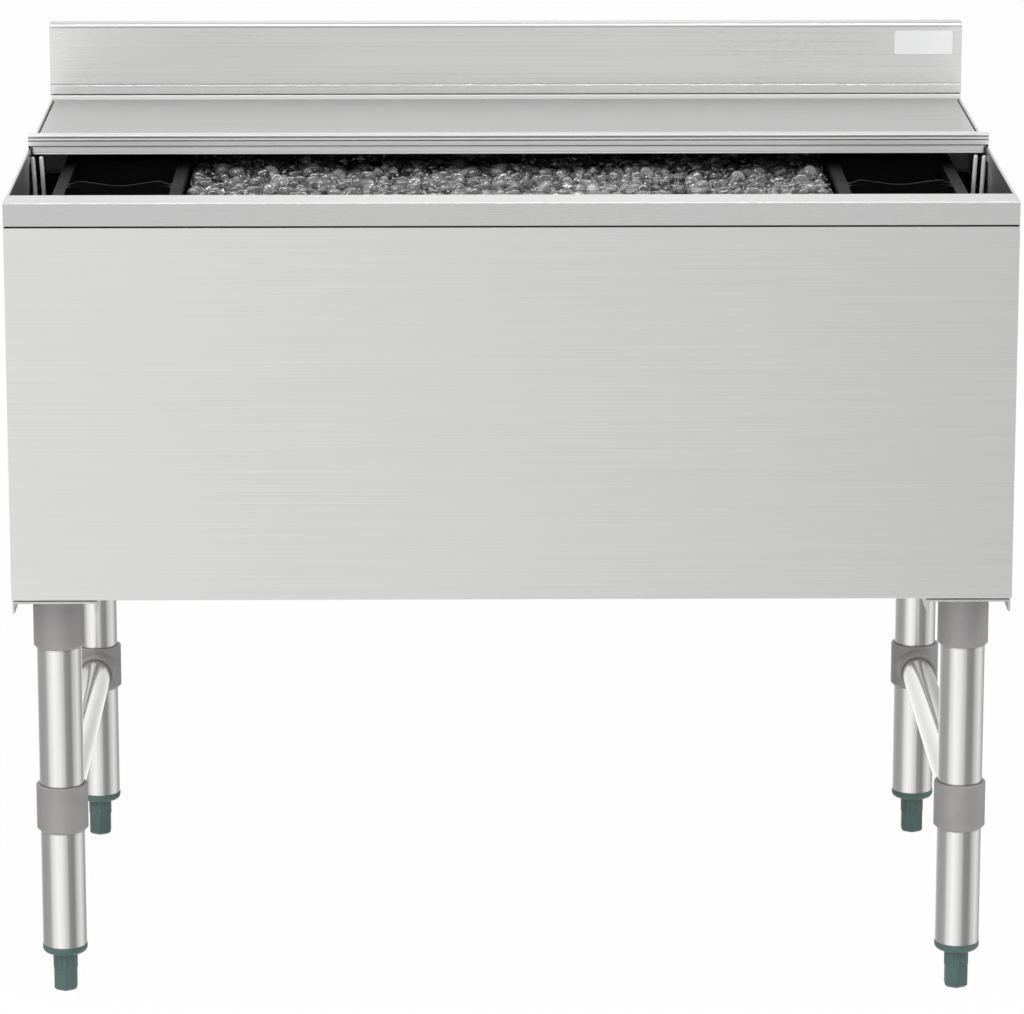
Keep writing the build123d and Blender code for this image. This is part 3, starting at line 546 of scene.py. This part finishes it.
def at_corners(*names):
    """The names of pieces that stand at all four corners."""
    return [f"{name}_{corner}" for name in names for corner in CORNERS]


def at_sides(*names):
    """The names of pieces that stand at both ends."""
    return [f"{name}_{side}" for name in names for side in SIDES]


def middle(box):
    """X and Y of a box's middle."""
    low, high = box
    return (low.x + high.x) / 2, (low.y + high.y) / 2


def tube_faces(rows, sides):
    """Quads of a closed tube whose points run round it row by row."""
    return [(row * sides + side, row * sides + (side + 1) % sides,
             (row + 1) * sides + (side + 1) % sides, (row + 1) * sides + side)
            for row in range(rows) for side in range(sides)]


def dress(material, *nodes):
    """Gives CAD nodes a material."""
    for name in nodes:
        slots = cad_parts[name].data.materials
        slots.clear()
        slots.append(material)


def new_piece(name, points, faces, body, material, smooth=True):
    """Mesh piece that rides on a body."""
    mesh = bpy.data.meshes.new(name)
    mesh.from_pydata(points, [], faces)
    mesh.validate()
    mesh.polygons.foreach_set("use_smooth", [smooth] * len(mesh.polygons))
    mesh.materials.append(material)
    piece = bpy.data.objects.new(name, mesh)
    bpy.context.scene.collection.objects.link(piece)
    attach(piece, body)
    return piece


# Pieces

class ICEBIN_OT_effects(bpy.types.Operator):
    """Makes the surface effects that the finishes share"""

    bl_idname = "icebin.effects"
    bl_label = "Surface effects"

    def execute(self, context):
        """Builds one node group for each effect."""
        for build in (brushing_effect, soft_edge_effect, crease_shade_effect, facing_up_effect,
                      light_drift_effect, seam_shade_effect, smudge_effect, grain_effect, dust_effect):
            build()
        return {"FINISHED"}


class ICEBIN_OT_sheet_steel(bpy.types.Operator):
    """Brushes the body, deck, splash and lid, each along its own length"""

    bl_idname = "icebin.sheet_steel"
    bl_label = "Sheet steel"

    def execute(self, context):
        """Gives each stainless sheet its brushing."""
        steel = context.scene.ice_bin.steel
        along_width = (3.0, 800.0, 800.0)
        along_depth = (800.0, 3.0, 800.0)
        fine, finest = 0.001 * MM, 0.0005 * MM
        # Painted shade: creases, such as the seam under the front rim's apron, go to black.
        dress(brushed_metal("Brushed sheet", steel.sheet_color, along_width, shade=(6 * MM, 0.0)),
              "front_panel", "back_panel")
        # Painted shade: creases go black, the top return is darker than the face and a line is darkened
        # at the rolled seam; painted light raises the tone to the right.
        dress(brushed_metal("Brushed splash", steel.splash_color, along_width, (0.26, 0.36),
                            depth=fine, metallic=0.7, drift=0.07, shade=(2.5 * MM, 0.0),
                            top=scaled(steel.splash_color, 0.72),
                            seam=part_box("splash_strip")[1].y + 4.2 * MM),
              "backsplash")
        # Painted highlight: the deck's upright edges are near white and its top is darker; creases are
        # painted shade.
        dress(brushed_metal("Brushed deck", steel.deck_edge_lit_color, along_width, (0.26, 0.36), depth=fine,
                            metallic=0.3, shade=(1.2 * MM, 0.6), top=steel.splash_color),
              "rear_deck")
        # Painted highlight: the wide softening widens the light edge along the strip's top; painted light
        # raises the tone to the right.
        dress(brushed_metal("Brushed strip", steel.splash_color, along_width, (0.22, 0.30),
                            depth=fine, metallic=0.7, drift=0.07, softening=1.2 * MM),
              "splash_strip")
        # Painted shade: the lid's top is darker than its front edge, and darker still near the splash
        # (painted shadow).
        dress(brushed_metal("Brushed lid", steel.handle_color, along_width, metallic=0.12,
                            top=steel.lid_top_shaded_color, top_shade=(130 * MM, 0.56)),
              "lid_pan")
        # Painted light: the handle is light and mostly diffuse; its groove and creases are painted shade.
        dress(brushed_metal("Brushed handle", steel.handle_color, along_width, (0.24, 0.32),
                            contrast=0.02, depth=fine, metallic=0.2, shade=(2.5 * MM, 0.15)),
              "lid_handle")
        # Painted light: the ledge is lighter than the apron, and the tone rises to the right.
        dress(brushed_metal("Satin rim", steel.apron_color, along_width, (0.24, 0.30), contrast=0.01,
                            depth=finest, metallic=0.6, drift=0.07, top=steel.ledge_lit_color),
              "front_rim")
        dress(brushed_metal("Brushed sides", steel.sheet_color, along_depth),
              *at_sides("side_panel", "splash_end_cap"))
        return {"FINISHED"}


class ICEBIN_OT_well_lining(bpy.types.Operator):
    """Finishes the well, its rests and its drain"""

    bl_idname = "icebin.well_lining"
    bl_label = "Well lining"

    def execute(self, context):
        """Gives the lining its satin steel and cuts the thread of the drain's tail."""
        steel = context.scene.ice_bin.steel
        lining = brushed_metal("Satin lining", steel.liner_color, (9.0, 300.0, 300.0), (0.36, 0.5))
        dress(lining, "liner", "holder_rests")
        turned = bright_metal("Turned drain", steel.liner_color, (0.22, 0.34), (300.0, 300.0, 300.0))
        dress(turned, "drain_body", "drain_strainer", "drain_locknut")
        tail_radius, crest, end_gap, nut_gap = 16.7 * MM, 0.75 * MM, 1.5 * MM, 2.5 * MM
        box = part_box("drain_body")
        points, faces = thread(middle(box), box[0].z + end_gap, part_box("drain_locknut")[0].z - nut_gap,
                               tail_radius + crest, depth=1.1 * MM, pitch=2.2 * MM, sides=48)
        tail = new_piece("drain_thread", points, faces, ROOT, turned, smooth=False)
        return {"FINISHED"}


def thread(centre, low, high, radius, depth, pitch, sides):
    """Closed screw thread on an upright axis: its crest and root wind round with the height."""
    rows_per_turn = 4
    steps = max(2, round((high - low) / pitch * rows_per_turn))
    points = []
    for row in range(steps + 1):
        z = low + (high - low) * row / steps
        taper = min(1.0, row / rows_per_turn, (steps - row) / rows_per_turn)
        for side in range(sides):
            turn = side / sides
            phase = (z / pitch - turn) % 1.0
            groove = abs(2 * phase - 1)
            r = radius - depth * (1 - taper * groove)
            points.append((centre[0] + r * math.cos(TURN * turn),
                           centre[1] + r * math.sin(TURN * turn), z))
    faces = [*tube_faces(steps, sides), tuple(reversed(range(sides))),
             tuple(range(steps * sides, (steps + 1) * sides))]
    return points, faces


class ICEBIN_OT_leg_frames(bpy.types.Operator):
    """Finishes the leg tubes, crossbars, castings and channels"""

    bl_idname = "icebin.leg_frames"
    bl_label = "Leg frames"

    def execute(self, context):
        """Polishes the tubes lengthwise and gives the castings their grey."""
        steel = context.scene.ice_bin.steel
        for title, lines, nodes in (("Polished leg", (500.0, 500.0, 5.0), at_corners("leg_tube")),
                                    ("Polished crossbar", (500.0, 5.0, 500.0), at_sides("crossbar"))):
            dress(brushed_metal(title, steel.tube_color, lines, (0.14, 0.22), contrast=0.04,
                                depth=0.003 * MM), *nodes)
        dress(cast_metal("Grey casting", steel.casting_color), *at_corners("leg_socket", "leg_tee"))
        sheet = galvanised("Galvanised sheet", scaled(steel.sheet_color, 0.95))
        dress(sheet, "bottom_pan", *at_sides("leg_channel"))
        zinc = bright_metal("Zinc plate", steel.zinc_color, (0.25, 0.4))
        dress(zinc, "channel_bolts", "socket_set_screws", "tee_set_screws")
        return {"FINISHED"}


class ICEBIN_OT_feet(bpy.types.Operator):
    """Finishes the levelling feet and cuts the threads of their stems"""

    bl_idname = "icebin.feet"
    bl_label = "Levelling feet"

    def execute(self, context):
        """Colours the feet and puts a threaded stem in the place of each plain one."""
        group = context.scene.ice_bin
        plastic = moulded_plastic("Foot plastic", group.plastic.foot_color, (0.38, 0.5), dust=0.05)
        dress(plastic, *at_corners("foot", "foot_insert"))
        zinc = bright_metal("Zinc thread", group.steel.zinc_color, (0.25, 0.4))
        for corner in CORNERS:
            low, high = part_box(f"foot_stem_{corner}")
            points, faces = thread(middle((low, high)), low.z, high.z, (high.x - low.x) / 2,
                                   depth=0.9 * MM, pitch=1.5 * MM, sides=32)
            stem = new_piece(f"threaded_stem_{corner}", points, faces, f"stem_{corner}", zinc,
                             smooth=False)
            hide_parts(f"foot_stem_{corner}")
        return {"FINISHED"}


class ICEBIN_OT_bottle_holders(bpy.types.Operator):
    """Finishes the bottle holders, their wire hooks and the lid's glides"""

    bl_idname = "icebin.bottle_holders"
    bl_label = "Bottle holders"

    def execute(self, context):
        """Gives the mouldings their black plastic and the hooks their bright wire."""
        group = context.scene.ice_bin
        black = moulded_plastic("Black plastic", group.plastic.black_color, (0.42, 0.58), dust=0.0,
                                edge_gain=4.0, gloss=0.06)
        dress(black, "handle_glides", "lid_glides", *at_sides("bottle_holder"))
        # Painted reflection: the wire is plain diffuse white in place of plated metal, so it shows bright
        # wherever it stands.
        wire = bright_metal("Bright wire", group.steel.wire_color, (0.10, 0.18), metallic=0.0)
        dress(wire, *at_sides("holder_hook"))
        return {"FINISHED"}


class ICEBIN_OT_hidden_layers(bpy.types.Operator):
    """Finishes the insulation and the drain's gasket"""

    bl_idname = "icebin.hidden_layers"
    bl_label = "Foam and gasket"

    def execute(self, context):
        """Gives the foam and the rubber their materials."""
        plastic = context.scene.ice_bin.plastic
        dress(foam("Insulation foam", plastic.foam_color), "insulation")
        dress(moulded_plastic("Gasket rubber", plastic.rubber_color, (0.7, 0.85)), "drain_gasket")
        return {"FINISHED"}


class ICEBIN_OT_label(bpy.types.Operator):
    """Sticks the blank label on the right end of the splash"""

    bl_idname = "icebin.label"
    bl_label = "Blank label"

    def execute(self, context):
        """Makes a thin film with rounded corners on the splash's face."""
        width, height, corner, steps = 58.8 * MM, 24.3 * MM, 1.5 * MM, 6
        right_inset, top_drop = 9.1 * MM, 7.0 * MM
        glue, film = 0.02 * MM, 0.2 * MM
        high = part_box("backsplash")[1]
        face_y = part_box("splash_strip")[1].y
        centre = Vector((high.x - right_inset - width / 2, face_y, high.z - top_drop - height / 2))
        outline = []
        for quarter, (sx, sz) in enumerate(((1, 1), (-1, 1), (-1, -1), (1, -1))):
            for step in range(steps + 1):
                angle = math.pi / 2 * (quarter + step / steps)
                x = sx * (width / 2 - corner) + corner * math.cos(angle)
                z = sz * (height / 2 - corner) + corner * math.sin(angle)
                outline.append(centre + Vector((x, 0, z)))
        count = len(outline)
        points = [p + Vector((0, -lift, 0)) for lift in (glue, film) for p in outline]
        faces = [tuple(reversed(range(count))), tuple(range(count, 2 * count)), *tube_faces(1, count)]
        white = paper_label("White film", context.scene.ice_bin.plastic.label_color)
        new_piece("blank_label", points, faces, ROOT, white, smooth=False)
        return {"FINISHED"}


# Ice

def nugget_shapes(rng, count=8, sides=14, rings=10):
    """Rounded pieces of ice with a melted hollow in one end, about one unit long."""
    half_sizes = ((0.45, 0.5), (0.42, 0.5), (0.40, 0.48))
    dent, ripples = 0.07, 2.2
    shapes = []
    for _ in range(count):
        stretch = Vector([rng.uniform(*limits) for limits in half_sizes])
        offset = Vector([rng.uniform(-50, 50) for _ in range(3)])
        square = rng.uniform(0.85, 1.0)
        hollow = rng.uniform(0.1, 0.45)
        points = []
        for ring in range(1, rings):
            polar = math.pi * ring / rings
            for side in range(sides):
                turn = TURN * side / sides
                way = Vector((math.sin(polar) * math.cos(turn), math.sin(polar) * math.sin(turn),
                              math.cos(polar)))
                way = Vector([math.copysign(abs(c) ** square, c) for c in way])
                bump = 1 + dent * noise.noise(way * ripples + offset)
                point = Vector([c * s * bump for c, s in zip(way, stretch)])
                point.z -= hollow * stretch.z * max(0.0, math.cos(polar)) ** 4
                points.append(point)
        points.append(Vector((0, 0, stretch.z * (1 - hollow))))
        points.append(Vector((0, 0, -stretch.z)))
        faces = []
        for ring in range(rings - 2):
            for side in range(sides):
                after = (side + 1) % sides
                faces.append((ring * sides + side, (ring + 1) * sides + side,
                              (ring + 1) * sides + after, ring * sides + after))
        top, bottom = len(points) - 2, len(points) - 1
        for side in range(sides):
            after = (side + 1) % sides
            faces.append((top, side, after))
            faces.append((bottom, (rings - 2) * sides + after, (rings - 2) * sides + side))
        shapes.append((points, faces))
    return shapes


def chip_shapes(rng, count=6):
    """Angular splinters, about one unit long."""
    faces = [(0, 1, 2), (0, 2, 3), (0, 3, 4), (0, 4, 1), (5, 2, 1), (5, 3, 2), (5, 4, 3), (5, 1, 4)]
    corners = [(0, 0, 1), (1, 0, 0), (0, 1, 0), (-1, 0, 0), (0, -1, 0), (0, 0, -1)]
    half_sizes, shift = ((0.3, 0.55), (0.25, 0.5), (0.2, 0.45)), 0.12
    shapes = []
    for _ in range(count):
        size = [rng.uniform(*limits) for limits in half_sizes]
        points = [Vector([c * s + rng.uniform(-shift, shift) for c, s in zip(corner, size)])
                  for corner in corners]
        shapes.append((points, faces))
    return shapes


def waves(x, y, height, per_metre, layer):
    """Height of smooth random waves at a place."""
    return height * noise.noise(Vector((x * per_metre, y * per_metre, layer)))


def ice_height(x, y, level):
    """Height of the heap: low waves over the level."""
    return level + waves(x, y, 4 * MM, 14, 3.7)


class ICEBIN_OT_ice(bpy.types.Operator):
    """Fills the well between the bottle holders with ice"""

    bl_idname = "icebin.ice"
    bl_label = "Ice"

    def execute(self, context):
        """Lays a dimpled bed with loose pieces on it and chips between them."""
        ice = context.scene.ice_bin.ice
        rng = random.Random(ice.seed)
        holder_gap, rim_gap, liner_gap = 1.5 * MM, 1 * MM, 2.2 * MM
        limits = (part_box("bottle_holder_right")[0].x - holder_gap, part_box("front_rim")[1].y + rim_gap,
                  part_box("liner")[1].y - liner_gap)
        # Title, tint, transmission, roughness, size of clouds, share of the darkest piece, dimples
        white = (1.0, 1.0, 1.0)
        # Painted shade: the bed's dark grey stands for the shade in the gaps of the heap.
        clear, frosted, splinter, shaded_bed = [ice_material(*row) for row in (
            ("Clear ice", white, 0.97, (0.02, 0.06), 9 * MM, 0.1, 0.15 * MM),
            ("Frosted ice", white, 0.75, (0.04, 0.14), 10 * MM, 0.35, 0.2 * MM),
            ("Ice splinters", white, 0.15, (0.02, 0.1), 6 * MM, 0.5, 0.5 * MM),
            ("Shaded ice bed", (0.45, 0.455, 0.46), 0.0, (0.1, 0.4), 20 * MM, 0.5, 0.8 * MM))]
        self.lay_bed(ice.level, limits, shaded_bed)
        nuggets = self.nugget_places(ice, limits, rng)
        self.heap("ice_pieces", nugget_shapes(rng), nuggets, limits, (clear, frosted), rng)
        chips = self.chip_places(ice, limits, rng)
        self.heap("ice_chips", chip_shapes(rng), chips, limits, (splinter, clear), rng, False)
        return {"FINISHED"}

    def nugget_places(self, ice, limits, rng):
        """Place, size and rise of each loose piece: layers of a shaken grid with empty places."""
        half_x, y0, y1 = limits
        empty, shake, sink, rise = 0.25, 0.45, 0.32, 0.4
        sizes, spare = (0.5, 0.7, 0.9, 1.0, 1.1), (0.85, 1.1)
        places = []
        for layer in range(ice.layers):
            drop = (ice.layers - 1 - layer) * ice.nugget * sink
            for row in range(int((y1 - y0) / ice.pitch)):
                for column in range(int(2 * half_x / ice.pitch)):
                    if rng.random() < empty:
                        continue
                    x = -half_x + (column + 0.5 + rng.uniform(-shake, shake)) * ice.pitch
                    y = y0 + (row + 0.5 + rng.uniform(-shake, shake)) * ice.pitch
                    size = ice.nugget * rng.choice(sizes) * rng.uniform(*spare)
                    places.append((x, y, size, rng.uniform(0.0, rise) * size - drop))
        return places

    def chip_places(self, ice, limits, rng):
        """Place, size and rise of each splinter, strewn evenly."""
        half_x, y0, y1 = limits
        return [(rng.uniform(-half_x, half_x), rng.uniform(y0, y1), rng.uniform(1.5, 4.5) * MM,
                 rng.uniform(0.0, 5.0) * MM) for _ in range(ice.chips)]

    def heap(self, name, shapes, places, limits, materials, rng, smooth=True):
        """Joins turned copies of the shapes at their places into one piece, inside the well."""
        half_x, y0, y1 = limits
        level = settings().ice.level
        top_limit, half_size, lean, second_share = 746 * MM, 0.56, 1.2, 0.3
        points, faces, indices = [], [], []
        for x, y, size, rise in places:
            reach = size * half_size
            x = min(max(x, -half_x + reach), half_x - reach)
            y = min(max(y, y0 + reach), y1 - reach)
            z = min(ice_height(x, y, level) + rise, top_limit - reach)
            turn = Matrix.Rotation(rng.uniform(0, TURN), 3, "Z")
            tilt = Matrix.Rotation(rng.uniform(-lean, lean), 3, "X")
            turned = Matrix.LocRotScale(Vector((x, y, z)), turn @ tilt, Vector((size, size, size)))
            shape_points, shape_faces = rng.choice(shapes)
            start = len(points)
            points += [turned @ p for p in shape_points]
            faces += [tuple(start + i for i in face) for face in shape_faces]
            indices += [int(rng.random() < second_share)] * len(shape_faces)
        piece = new_piece(name, points, faces, ROOT, materials[0], smooth)
        piece.data.materials.append(materials[1])
        piece.data.polygons.foreach_set("material_index", indices)
        piece.data.update()

    def lay_bed(self, level, limits, material):
        """Closed slab under the loose pieces, wavy on top; its dark grey is painted shade for the gaps
        between the pieces.
        """
        half_x, y0, y1 = limits
        step, thickness, sink = 8 * MM, 60 * MM, 2 * MM
        columns = round(2 * half_x / step)
        rows = round((y1 - y0) / step)
        points = []
        for row in range(rows + 1):
            for column in range(columns + 1):
                x = -half_x + 2 * half_x * column / columns
                y = y0 + (y1 - y0) * row / rows
                points.append((x, y, ice_height(x, y, level) + waves(x, y, 3 * MM, 90, 1.3) - sink))
        width = columns + 1
        corners = [row * width + c for row in range(rows) for c in range(columns)]
        faces = [(i, i + 1, i + width + 1, i + width) for i in corners]
        rim = ([*range(columns)] + [r * width + columns for r in range(rows)]
               + [rows * width + c for c in range(columns, 0, -1)]
               + [r * width for r in range(rows, 0, -1)])
        start = len(points)
        points += [(points[i][0], points[i][1], level - thickness) for i in rim]
        count = len(rim)
        faces += [(rim[i], start + i, start + (i + 1) % count, rim[(i + 1) % count])
                  for i in range(count)]
        faces.append(tuple(start + i for i in reversed(range(count))))
        new_piece("ice_bed", points, faces, ROOT, material)


# Studio

# Azimuth of the studio wall in degrees, from the front over the right, and its brightness there
WALL_FLAGS = ((-180, 1.0), (-150, 0.45), (-115, 0.34), (-80, 0.36), (-48, 0.85), (-30, 1.0),
              (-12, 0.90), (0, 0.78), (12, 0.62), (30, 0.27), (52, 0.24), (78, 0.6), (98, 0.80),
              (118, 0.6), (140, 0.34), (158, 0.40), (180, 1.0))
ALL_BUT_REFLECTIONS = ("camera", "diffuse", "transmission", "shadow", "volume_scatter")
WHITE = (1, 1, 1, 1)


def area_lamp(name, place, aim, size, power):
    """Square soft box that shows in no reflection."""
    lamp = bpy.data.lights.new(name, "AREA")
    lamp.shape = "SQUARE"
    lamp.size = size
    lamp.energy = power
    holder = bpy.data.objects.new(name, lamp)
    holder.location = place
    holder.rotation_euler = (Vector(aim) - Vector(place)).to_track_quat("-Z", "Y").to_euler()
    holder.visible_glossy = False
    bpy.context.scene.collection.objects.link(holder)


def stage_piece(name, points, faces, material, hidden_from, turn=0.0):
    """Mesh of the stage that some kinds of rays pass by."""
    mesh = bpy.data.meshes.new(name)
    mesh.from_pydata(points, [], faces)
    mesh.materials.append(material)
    piece = bpy.data.objects.new(name, mesh)
    bpy.context.scene.collection.objects.link(piece)
    piece.rotation_euler.z = turn
    for ray in hidden_from:
        setattr(piece, f"visible_{ray}", False)


def glow_material(title, strength):
    """Material that only glows; gives it, its tree and its glow."""
    material, tree = empty_material(title)
    glow = put(tree, "Emission", {"Color": WHITE, "Strength": strength})
    put(tree, "OutputMaterial", {"Surface": glow.outputs[0]})
    return material, tree, glow


def seen_directly(tree):
    """1 for rays from the camera, off metal and through ice, 0 for those that light the bin."""
    path = put(tree, "LightPath").outputs
    seen = math_node(tree, "MAXIMUM", path["Is Camera Ray"], path["Is Glossy Ray"])
    return math_node(tree, "MAXIMUM", seen, path["Is Transmission Ray"])


class ICEBIN_OT_studio(bpy.types.Operator):
    """Sets up the floor, the light and the camera"""

    bl_idname = "icebin.studio"
    bl_label = "Studio"

    def execute(self, context):
        """Builds the stage and points the camera at the bin."""
        studio = context.scene.ice_bin.studio
        self.lay_floor(studio)
        self.raise_wall()
        self.hang("studio_tube", studio.tube, centre=(0, -2.6, 3.2), half_sizes=(2.5, 0.15),
                  slope=-math.pi / 4)
        self.hang("studio_panel", studio.panel, centre=(-0.8, 0.7, 3.6), half_sizes=(1.8, 0.35),
                  slope=0.2)
        self.light(studio)
        self.set_camera(studio)
        context.scene.view_settings.view_transform = "Standard"
        return {"FINISHED"}

    def lay_floor(self, studio):
        """Pale floor that takes the shadow; metal sees the studio wall in its place."""
        reach, z, white_share = 40.0, -0.3 * MM, 0.97
        material, tree = empty_material("Studio floor")
        surface = put(tree, "BsdfDiffuse", {"Color": (*studio.floor_color, 1)})
        white = put(tree, "Emission", {"Color": WHITE, "Strength": 1.0})
        share = math_node(tree, "MULTIPLY", seen_directly(tree), white_share)
        mix = put(tree, "MixShader", {0: share, 1: surface.outputs[0], 2: white.outputs[0]})
        put(tree, "OutputMaterial", {"Surface": mix.outputs[0]})
        points = [(-reach, -reach, z), (reach, -reach, z), (reach, reach, z), (-reach, reach, z)]
        stage_piece("studio_floor", points, [(0, 1, 2, 3)], material, ("glossy",))

    def raise_wall(self):
        """Round wall that only reflections see: white, with the soft grey flags of a studio."""
        radius, low, high, sides, strength = 6.0, -4.0, 5.0, 96, 1.24
        material, tree, glow = glow_material("Studio wall", strength)
        turn = put(tree, "TexGradient", {"Vector": object_place(tree)}, gradient_type="RADIAL")
        ramp = put(tree, "ValToRGB", {"Fac": turn.outputs[1]})
        tree.links.new(ramp.outputs[0], glow.inputs["Color"])
        ramp.color_ramp.interpolation = "EASE"
        stops = ramp.color_ramp.elements
        while len(stops) < len(WALL_FLAGS):
            stops.new(0.5)
        for stop, (azimuth, level) in zip(stops, WALL_FLAGS):
            stop.position = 0.5 + azimuth / 360
            stop.color = (level, level, level, 1)
        points = [(radius * math.cos(TURN * i / sides), radius * math.sin(TURN * i / sides), z)
                  for z in (low, high) for i in range(sides)]
        stage_piece("studio_wall", points, tube_faces(1, sides), material, ALL_BUT_REFLECTIONS,
                    turn=-math.pi / 2)

    def hang(self, name, strength, centre, half_sizes, slope):
        """Bright oblong that only reflections see, for the lines on beads, folds and ice."""
        half_length, half_width = half_sizes
        across = Vector((0, half_width * math.cos(slope), half_width * math.sin(slope)))
        along = Vector((half_length, 0, 0))
        corners = [Vector(centre) + u * along + v * across
                   for u, v in ((-1, -1), (1, -1), (1, 1), (-1, 1))]
        stage_piece(name, corners, [(0, 1, 2, 3)], glow_material(name, strength)[0],
                    ALL_BUT_REFLECTIONS)

    def light(self, studio):
        """Even light from all round, a soft box from the left and a weaker one from the right."""
        world = bpy.data.worlds.new("Studio")
        bpy.context.scene.world = world
        world.use_nodes = True
        tree = world.node_tree
        tree.nodes.clear()
        ambient = put(tree, "Background", {"Color": WHITE, "Strength": studio.ambient})
        white = put(tree, "Background", {"Color": WHITE, "Strength": 1.0})
        mix = put(tree, "MixShader",
                  {0: seen_directly(tree), 1: ambient.outputs[0], 2: white.outputs[0]})
        put(tree, "OutputWorld", {"Surface": mix.outputs[0]})
        aim = (0, 0, 0.45)
        area_lamp("key_soft_box", (-2.4, -2.8, 3.4), aim, size=2.2, power=70.0)
        area_lamp("fill_soft_box", (3.0, -2.0, 2.6), aim, size=2.2, power=26.0)

    def set_camera(self, studio):
        """Camera at the height and distance of the picture, no shift, no depth of field."""
        sensor_width, farthest = 36, 200
        front_y = cad_box[0].y
        eye = Vector((studio.side_offset, front_y - studio.distance, studio.eye_height))
        aim = Vector((0, front_y, studio.aim_height))
        camera = bpy.data.cameras.new("camera")
        camera.sensor_width = sensor_width
        camera.lens = studio.lens
        camera.clip_end = farthest
        holder = bpy.data.objects.new("camera", camera)
        holder.location = eye
        holder.rotation_euler = (aim - eye).to_track_quat("-Z", "Y").to_euler()
        bpy.context.scene.collection.objects.link(holder)
        bpy.context.scene.camera = holder


OPERATORS = (ICEBIN_OT_effects, ICEBIN_OT_sheet_steel, ICEBIN_OT_well_lining, ICEBIN_OT_leg_frames,
             ICEBIN_OT_feet, ICEBIN_OT_bottle_holders, ICEBIN_OT_hidden_layers, ICEBIN_OT_label,
             ICEBIN_OT_ice, ICEBIN_OT_studio)


class ICEBIN_PT_panel(bpy.types.Panel):
    """Lists the steps that dress the ice bin"""

    bl_idname = "ICEBIN_PT_panel"
    bl_label = "Ice bin"
    bl_space_type = "VIEW_3D"
    bl_region_type = "UI"
    bl_category = "Ice bin"

    def draw(self, context):
        """One button for each step, then the settings."""
        for step in OPERATORS:
            self.layout.operator(step.bl_idname)
        group = context.scene.ice_bin
        for part in (group.steel, group.plastic, group.ice, group.studio):
            box = self.layout.box()
            for name in part.__annotations__:
                box.prop(part, name)


CLASSES = (SteelSettings, PlasticSettings, IceSettings, StudioSettings, IceBinSettings, *OPERATORS,
           ICEBIN_PT_panel)


def register():
    """Registers the classes and hangs the settings on the scene."""
    for item in CLASSES:
        bpy.utils.register_class(item)
    bpy.types.Scene.ice_bin = PointerProperty(type=IceBinSettings)


def unregister():
    """Takes the settings and the classes away again."""
    del bpy.types.Scene.ice_bin
    for item in reversed(CLASSES):
        bpy.utils.unregister_class(item)


def main():
    register()
    for step in OPERATORS:
        group, name = step.bl_idname.split(".")
        getattr(getattr(bpy.ops, group), name)()


if __name__ == "__main__":
    main()
